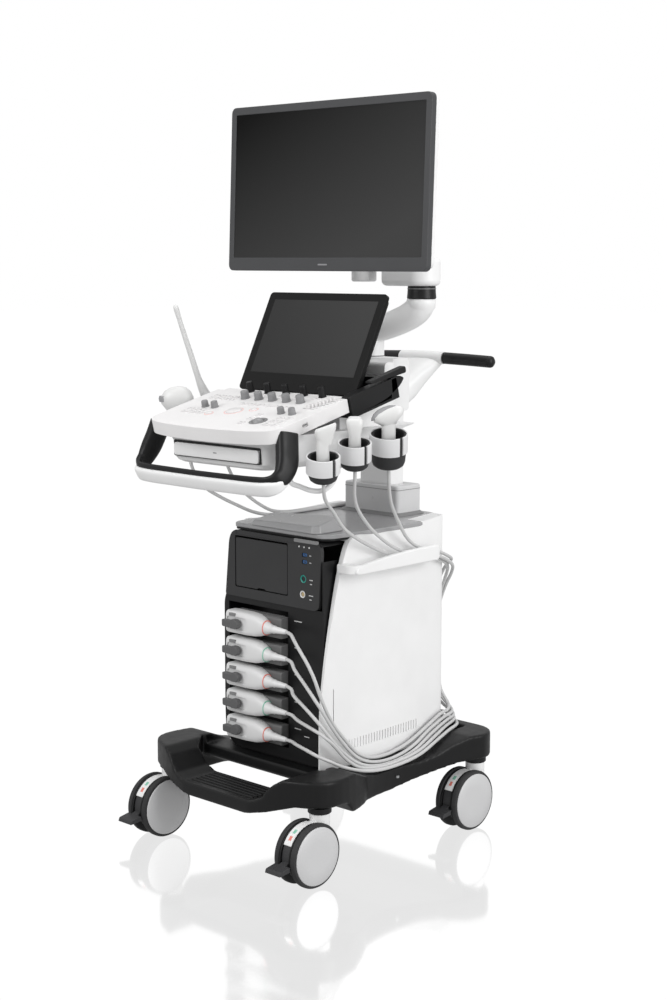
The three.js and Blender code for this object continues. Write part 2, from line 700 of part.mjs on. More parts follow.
// ---------------------------------------------------------------- leads
// Each lead runs from the foot of its probe to its connector, with the spare length
// hanging behind the body and lying along the base.
const LEADS = [
  [
    [232, -205, 787.6], [232, -204, 764], [222, -190, 738], [206, -150, 706], [190, -101, 666],
    [179, -20, 624], [172, 60, 594], [170, 130, 584], [168.5, 180, 576], [163, 224, 560],
    [142, 262, 540], [115, 286, 510], [97, 291, 470], [95, 291, 400], [95, 291, 310],
    [102, 291, 266], [125, 286, 243], [152, 256, 239], [165, 212, 237], [169, 165, 221],
    [171, 103, 199], [171, 40, 189], [171, -12, 194], [171, -48, 212], [171, -80, 243],
    [171, -113, 280], [169, -131, 310], [166, -146, 344], [160, -156, 378], [146, -160, 405],
    [121, -158, 430], [98, -150, 445], [83, -143, 452], [69, -141, 454],
  ],
  [
    [232, -120, 805.6], [232, -119, 776], [222, -110, 744], [210, -92, 715], [196, -50, 676],
    [184, 5, 638], [180, 60, 608], [179, 110, 593], [179, 160, 586], [176, 205, 572],
    [163, 250, 552], [134, 286, 528], [104, 299, 488], [87, 299, 440], [86, 299, 360],
    [86, 299, 290], [94, 299, 252], [120, 296, 234], [152, 268, 231], [168, 222, 230],
    [174, 170, 216], [178, 110, 192], [179, 45, 181], [179, -11, 186], [178, -52, 203],
    [176, -86, 234], [175, -125, 281], [171, -147, 316], [163, -155, 334], [136, -157, 362],
    [101, -151, 386], [84, -143, 397], [69, -141, 399.5],
  ],
  [
    [232, -25, 799.6], [232, -24, 768], [224, -14, 742], [210, 8, 708], [196, 44, 668],
    [185, 84, 628], [178, 124, 605], [175, 160, 596], [173, 200, 584], [162, 244, 567],
    [134, 282, 552], [104, 297, 530], [82, 300, 490], [76, 298, 430], [76, 298, 350],
    [76, 298, 280], [86, 299, 244], [114, 299, 226], [150, 276, 223], [172, 222, 222],
    [178, 172, 208], [184, 112, 186], [186, 46, 176], [187, -18, 181], [185, -62, 197],
    [181, -105, 231], [180, -130, 257], [170, -152, 289], [138, -158, 316], [98, -151, 334],
    [84, -143, 342.5], [69, -141, 345],
  ],
  [
    [-232, -120, 804.6], [-232, -122, 776], [-224, -118, 744], [-205, -107, 714],
    [-180, -88, 694], [-150, -67, 677], [-125, -48, 664], [-110, -18, 656], [-107, 40, 654.5],
    [-107, 120, 654.5], [-107, 200, 654.5], [-106, 238, 656], [-105, 262, 660],
    [-103, 284, 655], [-98, 297, 628], [-92, 296, 590], [-86, 292, 540], [-85, 292, 440], [-85, 292, 340], [-85, 292, 270],
    [-72, 294, 232], [-40, 297, 217], [20, 298, 216], [80, 298, 216], [125, 296, 216],
    [158, 268, 216], [177, 214, 212], [183.5, 180, 203], [192, 115, 185], [194, 47, 177],
    [194, -16, 178.5], [191, -62, 189], [187, -98, 214], [185, -115, 232], [184, -137, 254],
    [172, -152, 270], [145, -155, 279], [105, -148, 285], [84, -142, 290],
    [69, -141, 290.5],
  ],
  [
    [-232, -25, 799.6], [-232, -24, 770], [-224, -18, 738], [-205, -9, 704], [-180, -2, 684],
    [-152, 4, 669], [-130, 14, 659], [-118, 44, 654.5], [-116, 120, 654.5], [-116, 200, 654.5],
    [-115, 238, 656], [-114, 262, 660], [-112, 284, 655], [-107, 298, 628], [-101, 297, 590],
    [-95, 294, 540], [-95, 294, 440],
    [-95, 294, 340], [-95, 294, 262], [-84, 297, 226], [-52, 304, 206], [0, 306, 204.5],
    [70, 306, 204.5], [128, 300, 204.5], [160, 276, 204.5], [182, 222, 204.5],
    [190, 181, 196.5], [199, 112, 180], [202, 42, 174], [202, -20, 176], [199, -68, 185],
    [189, -110, 200], [184, -136, 214], [168, -154, 225], [140, -156, 232], [104, -149, 235],
    [84, -142, 236], [69, -141, 236],
  ],
];

function leads() {
  LEADS.forEach((route, i) => {
    part(`lead_${i + 1}`, swept(oval(LEAD_RADIUS, LEAD_RADIUS, 8), route, 72), PALE_GREY);
  });
}

// ---------------------------------------------------------------- assembly
function columnInner() {
  const { half, front, rear, bottom, top } = MAST;
  const tube = box(-half, half, front, rear, bottom, top - 4);
  return cut(tube, box(6 - half, half - 6, front + 6, rear - 6, bottom - 5, top - 20));
}

const bodyParts = [
  ['base_frame', baseFrame(), BLACK],
  ['front_housing', frontHousing(), BLACK],
  ['port_panel', portPanel(), CHARCOAL],
  ['printer_door', printerDoor(), CHARCOAL],
  ['thermal_printer', thermalPrinter(), STEEL],
  ['side_panel_right', join(sideSkin(), leadHook()), WHITE],
  ['side_panel_left', mirrored(sideSkin()), WHITE],
  ['rear_cover', rearCover(), WHITE],
  ['top_deck', topDeck(), GREY],
  ['column_outer', columnOuter(), GREY],
  ['card_cage', cardCage(), STEEL],
  ['power_supply', powerSupply(), STEEL],
];
const consoleParts = [
  ['column_inner', columnInner(), WHITE],
  ['console_shell', consoleShell(), WHITE],
  ['console_under', consoleUnder(), WHITE],
  ['keyboard_drawer', keyboardDrawer(), WHITE],
  ['trackball', trackball(), GREY],
  ['front_handle', frontHandle(), BLACK],
  ['touch_base', touchBase(), BLACK],
  ['touch_screen', touchScreen(), GLASS],
  ['rear_handle', rearHandle(), WHITE],
  ['cable_hook', cableHook(), WHITE],
];
const armParts = [
  ['arm_lower', armLower(), WHITE],
  ['arm_upper', armUpper(), WHITE],
  ['monitor_mount', monitorMount(), WHITE],
  ['monitor', monitor(), CHARCOAL],
];

casters();
for (const [name, geometry, material] of [...bodyParts, ...consoleParts, ...armParts]) {
  part(name, geometry, material);
}
connectors();
holders();
probes();
leads();

const machine = new THREE.Group();
cart.position.set(-FOOTPRINT_CENTRE.x, -FOOTPRINT_CENTRE.y, 0);
machine.add(cart);

export default machine;
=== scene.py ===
"""Looks of the cart-mounted ultrasound machine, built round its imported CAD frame.

Shapes are written in millimetres in the cart frame: z = 0 on the floor, -Y towards the
operator, +X to the operator's right. SHIFT and MM then take them to the shared frame.
"""

import math
from functools import partial

import bmesh
import bpy
from mathutils import Matrix, Vector


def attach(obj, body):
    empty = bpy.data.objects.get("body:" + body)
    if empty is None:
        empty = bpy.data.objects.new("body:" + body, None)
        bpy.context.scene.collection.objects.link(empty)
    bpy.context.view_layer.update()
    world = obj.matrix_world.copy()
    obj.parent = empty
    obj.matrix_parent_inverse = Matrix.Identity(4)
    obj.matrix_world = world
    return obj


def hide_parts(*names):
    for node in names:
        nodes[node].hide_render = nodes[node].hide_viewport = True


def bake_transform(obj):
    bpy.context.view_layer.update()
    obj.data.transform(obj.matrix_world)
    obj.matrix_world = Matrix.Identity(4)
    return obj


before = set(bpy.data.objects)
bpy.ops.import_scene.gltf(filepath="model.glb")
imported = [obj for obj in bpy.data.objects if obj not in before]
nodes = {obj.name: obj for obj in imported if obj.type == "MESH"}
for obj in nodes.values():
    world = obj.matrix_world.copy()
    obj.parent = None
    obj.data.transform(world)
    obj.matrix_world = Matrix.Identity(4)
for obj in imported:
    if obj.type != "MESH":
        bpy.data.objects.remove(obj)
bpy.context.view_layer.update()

MM = 0.001
SHIFT = Vector((16.8, -23.9, 0.0))
TO_FRAME = Matrix.Scale(MM, 4) @ Matrix.Translation(SHIFT)

CORNERS = {
    "front_right": (215, -198),
    "front_left": (-215, -198),
    "rear_right": (215, 270),
    "rear_left": (-215, 270),
}


# ---------------------------------------------------------------- shapes
# A shape is (points, faces): points as Vectors in millimetres, faces as index tuples.
def join(*shapes):
    points, faces = [], []
    for some, polygons in shapes:
        start = len(points)
        points += some
        faces += [tuple(i + start for i in polygon) for polygon in polygons]
    return points, faces


def moved(shape, matrix):
    return [matrix @ Vector(p) for p in shape[0]], shape[1]


def mirrored(shape):
    return [Vector((-p[0], p[1], p[2])) for p in shape[0]], [tuple(reversed(f)) for f in shape[1]]


def round_rect(u0, u1, v0, v1, r, steps=6):
    outline = []
    centres = ((u1 - r, v0 + r), (u1 - r, v1 - r), (u0 + r, v1 - r), (u0 + r, v0 + r))
    for (cu, cv), start in zip(centres, (-90, 0, 90, 180)):
        for i in range(steps + 1):
            angle = math.radians(start + 90 * i / steps)
            outline.append((cu + r * math.cos(angle), cv + r * math.sin(angle)))
    return outline


def circle(u, v, r, steps=32):
    return [
        (u + r * math.cos(math.tau * i / steps), v + r * math.sin(math.tau * i / steps))
        for i in range(steps)
    ]


def rounded(corners, steps=5):
    """A closed outline through (u, v, radius) corners, each turned with an arc-like curve."""
    outline = []
    count = len(corners)
    for i, (u, v, r) in enumerate(corners):
        here = Vector((u, v))
        back = Vector(corners[i - 1][:2]) - here
        ahead = Vector(corners[(i + 1) % count][:2]) - here
        if r <= 0:
            outline.append((u, v))
            continue
        a = here + back.normalized() * min(r, back.length * 0.5)
        b = here + ahead.normalized() * min(r, ahead.length * 0.5)
        for k in range(steps + 1):
            t = k / steps
            outline.append(tuple((1 - t) ** 2 * a + 2 * t * (1 - t) * here + t * t * b))
    return outline


def place(axis, u, v, d):
    return Vector({"x": (d, u, v), "y": (u, d, v), "z": (u, v, d)}[axis])


def prism(axis, outline, d0, d1):
    """An outline run along an axis: u, v are the other two axes in x, y, z order."""
    n = len(outline)
    points = [place(axis, u, v, d0) for u, v in outline] + [place(axis, u, v, d1) for u, v in outline]
    faces = [tuple(range(n)), tuple(range(2 * n - 1, n - 1, -1))]
    faces += [(i, i + n, (i + 1) % n + n, (i + 1) % n) for i in range(n)]
    return points, faces


def box(x0, x1, y0, y1, z0, z1):
    return prism("z", [(x0, y0), (x1, y0), (x1, y1), (x0, y1)], z0, z1)


def loft(rings, closed=False, caps=True):
    """Rings of equal count joined one to the next."""
    n = len(rings[0])
    points = [Vector(p) for ring in rings for p in ring]
    faces = []
    count = len(rings)
    for k in range(count if closed else count - 1):
        a, b = k * n, (k + 1) % count * n
        faces += [(a + i, a + (i + 1) % n, b + (i + 1) % n, b + i) for i in range(n)]
    if caps and not closed:
        faces += [tuple(range(n - 1, -1, -1)), tuple(range((count - 1) * n, count * n))]
    return points, faces


def lathe(profile, steps=40, closed=False):
    """A turned shape about Z from (radius, z) pairs; closed where it is a ring."""
    rings = [
        [(r * math.cos(a), r * math.sin(a), z) for a in (math.tau * i / steps for i in range(steps))]
        for r, z in profile
    ]
    return loft(rings, closed)


def smooth_path(points, step):
    """A centripetal Catmull-Rom curve through the points, sampled about every step."""
    knots = [Vector(p) for p in points]
    knots = [2 * knots[0] - knots[1], *knots, 2 * knots[-1] - knots[-2]]
    path = []
    for p0, p1, p2, p3 in zip(knots, knots[1:], knots[2:], knots[3:]):
        d1, d2, d3 = ((b - a).length ** 0.5 for a, b in ((p0, p1), (p1, p2), (p2, p3)))
        m1 = (p1 - p0) / d1 - (p2 - p0) / (d1 + d2) + (p2 - p1) / d2
        m2 = (p2 - p1) / d2 - (p3 - p1) / (d2 + d3) + (p3 - p2) / d3
        m1, m2 = m1 * d2, m2 * d2
        count = max(2, round((p2 - p1).length / step))
        for i in range(count):
            t = i / count
            path.append(
                (2 * t**3 - 3 * t**2 + 1) * p1
                + (t**3 - 2 * t**2 + t) * m1
                + (3 * t**2 - 2 * t**3) * p2
                + (t**3 - t**2) * m2
            )
    return path + [knots[-2]]


def swept(path, section, sides=14, up=(0, 0, 1)):
    """A bar along a path. section(share) gives (half width, half height, squareness)."""
    rings = []
    side = None
    for i, point in enumerate(path):
        along = (path[min(i + 1, len(path) - 1)] - path[max(i - 1, 0)]).normalized()
        if side is None:
            side = along.cross(Vector(up)).normalized()
        side = (side - side.dot(along) * along).normalized()
        over = side.cross(along)
        wide, high, power = section(i / (len(path) - 1))
        rings.append([point + side * u * wide + over * v * high for u, v in superellipse(power, sides)])
    return loft(rings)


def superellipse(power, sides):
    ring = []
    for i in range(sides):
        c, s = math.cos(math.tau * i / sides), math.sin(math.tau * i / sides)
        ring.append((math.copysign(abs(c) ** (2 / power), c), math.copysign(abs(s) ** (2 / power), s)))
    return ring


def stations(spec, sides=24):
    """A body of oval rings about Z: (z, half x, half y, squareness), then a centre that isn't (0, 0)."""
    rings = []
    for z, a, b, power, *centre in spec:
        cx, cy = centre or (0, 0)
        rings.append([(cx + u * a, cy + v * b, z) for u, v in superellipse(power, sides)])
    return loft(rings)


# ---------------------------------------------------------------- pieces
def mesh_of(name, shape, merge=0.0, sharp=38):
    """A smooth-shaded mesh with its outward normals mended, where points closer than merge are one."""
    mesh = bpy.data.meshes.new(name)
    mesh.from_pydata(shape[0], [], shape[1])
    if merge:
        work = bmesh.new()
        work.from_mesh(mesh)
        bmesh.ops.remove_doubles(work, verts=work.verts, dist=merge)
        bmesh.ops.recalc_face_normals(work, faces=work.faces)
        work.to_mesh(mesh)
        work.free()
    mesh.polygons.foreach_set("use_smooth", [True] * len(mesh.polygons))
    mesh.set_sharp_from_angle(angle=math.radians(sharp))
    return mesh


def shown(name, data):
    """An object of the data, in the scene."""
    made = bpy.data.objects.new(name, data)
    bpy.context.scene.collection.objects.link(made)
    return made


def piece(name, shape, finish, stands_for=(), slot=None, body="chassis", matrix=Matrix.Identity(4),
          bevel=0, rings=3, sharp=38):
    """One visual piece that rides on a body. Its slot is looked up from the finish unless another is
    given, and is then not used.
    """
    made = shown(name, mesh_of(name, moved(shape, TO_FRAME @ matrix), 1e-6, sharp))
    made.data.materials.append(finish)
    soften(made, bevel, rings, sharp)
    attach(made, body)
    if stands_for:
        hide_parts(*stands_for)
    if slot is None:
        slot = SLOT_OF.get(finish.name)


def fitted(body, matrix=Matrix.Identity(4)):
    """piece() for pieces that share a body and a placing."""
    return partial(piece, body=body, matrix=matrix)


def soften(made, bevel, rings, sharp):
    if bevel:
        edge = made.modifiers.new("Edges", "BEVEL")
        edge.width = bevel * MM
        edge.segments = rings
        edge.limit_method = "ANGLE"
        edge.angle_limit = math.radians(sharp)
        edge.harden_normals = True
        made.modifiers.new("Normals", "WEIGHTED_NORMAL").keep_sharp = True


# ---------------------------------------------------------------- finishes
def new_material(name):
    material = bpy.data.materials.new(name)
    material.use_nodes = True
    tree = material.node_tree
    return material, tree, tree.nodes["Principled BSDF"]


def noise(tree, scale, detail=3.0, roughness=0.5):
    where = tree.nodes.new("ShaderNodeTexCoord")
    field = tree.nodes.new("ShaderNodeTexNoise")
    field.inputs["Scale"].default_value = scale
    field.inputs["Detail"].default_value = detail
    field.inputs["Roughness"].default_value = roughness
    tree.links.new(where.outputs["Object"], field.inputs["Vector"])
    return field.outputs["Fac"]


def ramp(tree, value, low, high, start=0.3, end=0.7):
    """The value spread from low to high, each a grey level or a colour."""
    spread = tree.nodes.new("ShaderNodeValToRGB")
    for element, position, level in zip(spread.color_ramp.elements, (start, end), (low, high)):
        element.position = position
        element.color = (*level, 1.0) if hasattr(level, "__len__") else (level, level, level, 1.0)
    tree.links.new(value, spread.inputs["Fac"])
    return spread.outputs["Color"]


def grain(tree, shader, scale, height, detail=2.0):
    bump = tree.nodes.new("ShaderNodeBump")
    bump.inputs["Strength"].default_value = 1.0
    bump.inputs["Distance"].default_value = height
    tree.links.new(noise(tree, scale, detail), bump.inputs["Height"])
    tree.links.new(bump.outputs["Normal"], shader.inputs["Normal"])


def plastic(name, colour, rough, texture=1400, height=0.00001, vary=0.03, specular=0.5, coat=0.0):
    """A moulded plastic: faint cloudiness in its colour and gloss, and a fine moulded grain."""
    material, tree, shader = new_material(name)
    low = tuple(c * (1 - vary) for c in colour)
    high = tuple(min(1.0, c * (1 + vary)) for c in colour)
    tree.links.new(ramp(tree, noise(tree, 9.0), low, high), shader.inputs["Base Color"])
    gloss = ramp(tree, noise(tree, 60.0, 5.0), rough * 0.9, min(1.0, rough * 1.1))
    tree.links.new(gloss, shader.inputs["Roughness"])
    shader.inputs["Specular IOR Level"].default_value = specular
    shader.inputs["Coat Weight"].default_value = coat
    shader.inputs["Coat Roughness"].default_value = 0.12
    grain(tree, shader, texture, height)
    return material


def metal(name, colour, rough):
    material, tree, shader = new_material(name)
    low = tuple(c * 0.85 for c in colour)
    tree.links.new(ramp(tree, noise(tree, 120.0, 6.0), low, colour), shader.inputs["Base Color"])
    tree.links.new(ramp(tree, noise(tree, 300.0, 4.0), rough * 0.8, rough * 1.2),
                   shader.inputs["Roughness"])
    shader.inputs["Metallic"].default_value = 1.0
    grain(tree, shader, 900, 0.000008)
    return material


def screen(name, dark, light, lean, start):
    """Unlit glass with a painted reflection: its colour is darker towards one corner and runs lighter
    across it as a painted sheen.
    """
    material, tree, shader = new_material(name)
    where = tree.nodes.new("ShaderNodeTexCoord")
    along = tree.nodes.new("ShaderNodeVectorMath")
    along.operation = "DOT_PRODUCT"
    along.inputs[1].default_value = lean
    tree.links.new(where.outputs["Generated"], along.inputs[0])
    low, high = min(0, lean[2]), max(0, lean[2])
    lift = tree.nodes.new("ShaderNodeMath")
    lift.inputs[1].default_value = -low
    tree.links.new(along.outputs["Value"], lift.inputs[0])
    # painted reflection: the glass colour runs from dark to light across the glass, a sheen painted into
    # it
    painted_sheen = ramp(tree, lift.outputs[0], dark, light, start, lean[0] + high - low)
    tree.links.new(painted_sheen, shader.inputs["Base Color"])
    shader.inputs["Roughness"].default_value = 0.3
    shader.inputs["Specular IOR Level"].default_value = 0.12
    return material


WHITE = plastic("white_moulding", (0.83, 0.83, 0.83), 0.38)
SIDE_WHITE = plastic("white_side_skin", (0.84, 0.84, 0.84), 0.45)
TOP_WHITE = plastic("white_console_top", (0.8, 0.79, 0.79), 0.4)
BLACK = plastic("black_moulding", (0.007, 0.007, 0.0075), 0.4, 1000, 0.00002, 0.1, 0.3)
HOUSING_BLACK = plastic("black_housing", (0.008, 0.008, 0.0085), 0.35, 1200, 0.00001, 0.08, 0.3)
CHARCOAL = plastic("charcoal_panel", (0.034, 0.034, 0.035), 0.42, 1500, 0.00001, 0.06, 0.3)
BEZEL = plastic("charcoal_bezel", (0.06, 0.061, 0.064), 0.45, 1800, 0.000008, 0.04, 0.3)
DARK = plastic("dark_liner", (0.03, 0.03, 0.031), 0.6, 900, 0.00002, 0.1, 0.3)
DECK_GREY = plastic("smoked_grey", (0.33, 0.33, 0.335), 0.2, 700, 0.000004, 0.04, 0.5, 0.3)
PALE = plastic("pale_grey_moulding", (0.7, 0.7, 0.705), 0.42)
SHELL_GREY = plastic("connector_grey", (0.74, 0.74, 0.74), 0.4)
MID_GREY = plastic("mid_grey_moulding", (0.22, 0.22, 0.222), 0.45)
LEVER_GREY = plastic("lever_grey", (0.1, 0.1, 0.102), 0.45)
PROBE = plastic("probe_shell", (0.7, 0.7, 0.695), 0.33, 900, 0.000002)
LENS = plastic("acoustic_lens", (0.3, 0.3, 0.31), 0.5, 600, 0.000004)
JACKET = plastic("lead_jacket", (0.56, 0.56, 0.56), 0.42, 500, 0.00001, 0.03)
RUBBER = plastic("tread_rubber", (0.035, 0.035, 0.036), 0.75, 800, 0.00003, 0.15, 0.3)
PEDAL = plastic("pedal_plastic", (0.04, 0.04, 0.042), 0.5, 900, 0.00002, 0.1, 0.3)
DISC = plastic("wheel_disc", (0.58, 0.58, 0.585), 0.4)
KNOB = plastic("knob_grey", (0.24, 0.24, 0.245), 0.4)
KEY = plastic("key_white", (0.72, 0.71, 0.71), 0.45)
STEEL = metal("zinc_steel", (0.55, 0.56, 0.57), 0.35)
BRASS = metal("contact_metal", (0.75, 0.6, 0.35), 0.3)
# Both screens' glass carries a painted sheen, lighter towards one side, standing in for a reflection.
PAINTED_SHEEN_GLASS = screen("screen_glass", (0.0, 0.0, 0.0), (0.05, 0.05, 0.05), (0.55, 0.0, -0.65), 0.05)
TOUCH_BLACK = plastic("touch_border", (0.008, 0.008, 0.008), 0.35, 300, 0.000001, 0.05, 0.15)
PAINTED_SHEEN_TOUCH_GLASS = screen("touch_glass", (0.028, 0.028, 0.028), (0.048, 0.048, 0.048), (0.6, 0.0, 0.2), 0.0)
BALL_GREY = plastic("ball_grey", (0.28, 0.28, 0.285), 0.2, 700, 0.000002, 0.06)
LIT_RED = plastic("lit_red", (0.85, 0.45, 0.42), 0.5)
COVER_GREY = plastic("column_cover_grey", (0.62, 0.62, 0.625), 0.3, 700, 0.000004, 0.04, 0.5, 0.2)
HOOD_GREY = plastic("hood_grey", (0.36, 0.36, 0.365), 0.25, 700, 0.000004, 0.04, 0.5, 0.3)
BACK_GREY = plastic("connector_back_grey", (0.13, 0.13, 0.13), 0.5)
BASE_BLACK = plastic("base_black", (0.006, 0.006, 0.0063), 0.4, 900, 0.00002, 0.08, 0.28)
BLUE = plastic("socket_blue", (0.03, 0.12, 0.32), 0.4)
TEAL = plastic("socket_teal", (0.03, 0.3, 0.25), 0.4)
RED = plastic("ring_red", (0.75, 0.22, 0.18), 0.45)
GREEN = plastic("ring_green", (0.25, 0.55, 0.42), 0.45)
PRINT = plastic("printed_mark", (0.75, 0.75, 0.75), 0.5)
GREY_PRINT = plastic("grey_mark", (0.25, 0.25, 0.26), 0.5)

# The material slot that a finish stands for, where its pieces mostly have the same one.
FINISHES_OF_SLOT = {
    "white_shell": (WHITE, SIDE_WHITE, TOP_WHITE),
    "black_shell": (BLACK, HOUSING_BLACK, DARK),
    "charcoal_shell": (BEZEL, CHARCOAL, LENS, LEVER_GREY, PEDAL),
    "grey_deck": (COVER_GREY, DECK_GREY, HOOD_GREY, DISC),
    "pale_grey": (PALE, KEY, KNOB, SHELL_GREY, BACK_GREY),
    "screen_glass": (PAINTED_SHEEN_GLASS, TOUCH_BLACK, PAINTED_SHEEN_TOUCH_GLASS),
    "probe_white": (PROBE,),
    "tread_rubber": (RUBBER,),
    "sheet_steel": (STEEL,),
    "trackball_grey": (BALL_GREY,),
}
SLOT_OF = {finish.name: slot for slot, finishes in FINISHES_OF_SLOT.items() for finish in finishes}

# ---------------------------------------------------------------- camera
lens = bpy.data.cameras.new("camera")
lens.lens = 61.73
lens.sensor_width = 36.0
camera = shown("camera", lens)
camera.location = (2.4320, -2.4816, 1.1787)
camera.rotation_euler = (math.radians(90 - 7.9925), 0.0, math.radians(43.755))
bpy.context.scene.camera = camera

# ---------------------------------------------------------------- leads
LEAD_DIAMETER = 7.0
LEAD_ROUTES = {
    "lead_1": [
        (232, -205, 787.6), (232, -204, 764), (222, -190, 738), (206, -150, 706), (190, -101, 666),
        (179, -20, 624), (172, 60, 594), (170, 130, 584), (168.5, 180, 576), (163, 224, 560),
        (142, 262, 540), (115, 286, 510), (97, 291, 470), (95, 291, 400), (95, 291, 310),
        (102, 291, 266), (125, 286, 243), (152, 256, 239), (165, 212, 237), (169, 165, 221),
        (171, 103, 199), (171, 40, 189), (171, -12, 194), (171, -48, 212), (171, -80, 243),
        (171, -113, 280), (169, -131, 310), (166, -146, 344), (160, -156, 378), (146, -160, 405),
        (121, -158, 430), (98, -150, 445), (83, -143, 452), (69, -141, 454),
    ],
    "lead_2": [
        (232, -120, 805.6), (232, -119, 776), (222, -110, 744), (210, -92, 715), (196, -50, 676),
        (184, 5, 638), (180, 60, 608), (179, 110, 593), (179, 160, 586), (176, 205, 572),
        (163, 250, 552), (134, 286, 528), (104, 299, 488), (87, 299, 440), (86, 299, 360),
        (86, 299, 290), (94, 299, 252), (120, 296, 234), (152, 268, 231), (168, 222, 230),
        (174, 170, 216), (178, 110, 192), (179, 45, 181), (179, -11, 186), (178, -52, 203),
        (176, -86, 234), (175, -125, 281), (171, -147, 316), (163, -155, 334), (136, -157, 362),
        (101, -151, 386), (84, -143, 397), (69, -141, 399.5),
    ],
    "lead_3": [
        (232, -25, 799.6), (232, -24, 768), (224, -14, 742), (210, 8, 708), (196, 44, 668),
        (185, 84, 628), (178, 124, 605), (175, 160, 596), (173, 200, 584), (162, 244, 567),
        (134, 282, 552), (104, 297, 530), (82, 300, 490), (76, 298, 430), (76, 298, 350),
        (76, 298, 280), (86, 299, 244), (114, 299, 226), (150, 276, 223), (172, 222, 222),
        (178, 172, 208), (184, 112, 186), (186, 46, 176), (187, -18, 181), (185, -62, 197),
        (181, -105, 231), (180, -130, 257), (170, -152, 289), (138, -158, 316), (98, -151, 334),
        (84, -143, 342.5), (69, -141, 345),
    ],
    "lead_4": [
        (-232, -120, 804.6), (-232, -122, 776), (-224, -118, 744), (-205, -107, 714), (-180, -88, 694),
        (-150, -67, 677), (-125, -48, 664), (-110, -18, 656), (-107, 40, 654.5), (-107, 120, 654.5),
        (-107, 200, 654.5), (-106, 238, 656), (-105, 262, 660), (-103, 284, 655), (-98, 297, 628),
        (-92, 296, 590), (-86, 292, 540), (-85, 292, 440), (-85, 292, 340), (-85, 292, 270),
        (-72, 294, 232), (-40, 297, 217), (20, 298, 216), (80, 298, 216), (125, 296, 216),
        (158, 268, 216), (177, 214, 212), (183.5, 180, 203), (192, 115, 185), (194, 47, 177),
        (194, -16, 178.5), (191, -62, 189), (187, -98, 214), (185, -115, 232), (184, -137, 254),
        (172, -152, 270), (145, -155, 279), (105, -148, 285), (84, -142, 290), (69, -141, 290.5),
    ],
    "lead_5": [
        (-232, -25, 799.6), (-232, -24, 770), (-224, -18, 738), (-205, -9, 704), (-180, -2, 684),
        (-152, 4, 669), (-130, 14, 659), (-118, 44, 654.5), (-116, 120, 654.5), (-116, 200, 654.5),
        (-115, 238, 656), (-114, 262, 660), (-112, 284, 655), (-107, 298, 628), (-101, 297, 590),
        (-95, 294, 540), (-95, 294, 440), (-95, 294, 340), (-95, 294, 262), (-84, 297, 226),
        (-52, 304, 206), (0, 306, 204.5), (70, 306, 204.5), (128, 300, 204.5), (160, 276, 204.5),
        (182, 222, 204.5), (190, 181, 196.5), (199, 112, 180), (202, 42, 174), (202, -20, 176),
        (199, -68, 185), (189, -110, 200), (184, -136, 214), (168, -154, 225), (140, -156, 232),
        (104, -149, 235), (84, -142, 236), (69, -141, 236),
    ],
}


def lead(name, route, finish):
    """Out of the connector, down along the side, and up from the back of the body to the probe."""
    path = smooth_path(route[::-1], 7.0)
    half = LEAD_DIAMETER / 2
    shape = swept(path, lambda share: (half, half, 2), 12, (1, 0, 0))
    made = shown(name + "_cord", mesh_of(name + "_cord", moved(shape, TO_FRAME), sharp=60))
    made.data.materials.append(finish)
    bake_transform(made)
    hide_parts(name)


for name, route in LEAD_ROUTES.items():
    lead(name, route, JACKET)


# ---------------------------------------------------------------- placing
def leaning(x, y, z, degrees):
    return Matrix.Translation((x, y, z)) @ Matrix.Rotation(math.radians(degrees), 4, "X")


MOUNT_AXIS = (-22.6, 180, 0)
ARM_AXIS = (122, 196, 0)
ON_MONITOR = leaning(MOUNT_AXIS[0], 62, 1324.8, -2.3)
ON_TOUCH = leaning(0, -45, 923, -26.3)
ON_SLOPE = leaning(0, -233, 879, math.degrees(math.atan(0.25)))

on_monitor = fitted("monitor", ON_MONITOR)
on_mount = fitted("monitor_mount")
on_touch = fitted("touch_screen", ON_TOUCH)
on_slope = fitted("console", ON_SLOPE)
on_console = fitted("console")
on_drawer = fitted("keyboard_drawer")


def at(x, y, z):
    return Matrix.Translation((x, y, z))


def turned(degrees, axis="Z"):
    return Matrix.Rotation(math.radians(degrees), 4, axis)


def rim(outer, inner, y0, y1, y2):
    """A flat frame facing -Y: back y1, front y0, and the inner wall back to y2."""
    corners = ((outer, y1), (outer, y0), (inner, y0), (inner, y2))
    return loft([[(u, y, v) for u, v in outline] for outline, y in corners], closed=True)


def carved(shape, *cutters):
    """The shape with the cutters taken out of it."""
    made = []
    for points, faces in (shape, *cutters):
        mesh = mesh_of("tool", ([Vector(p) for p in points], faces), 1e-4)
        made.append(shown("tool", mesh))
    for cutter in made[1:]:
        step = made[0].modifiers.new("cut", "BOOLEAN")
        step.operation = "DIFFERENCE"
        step.solver = "EXACT"
        step.object = cutter
    done = made[0].evaluated_get(bpy.context.evaluated_depsgraph_get()).to_mesh()
    result = [v.co.copy() for v in done.vertices], [tuple(p.vertices) for p in done.polygons]
    for tool in made:
        bpy.data.objects.remove(tool)
    return result


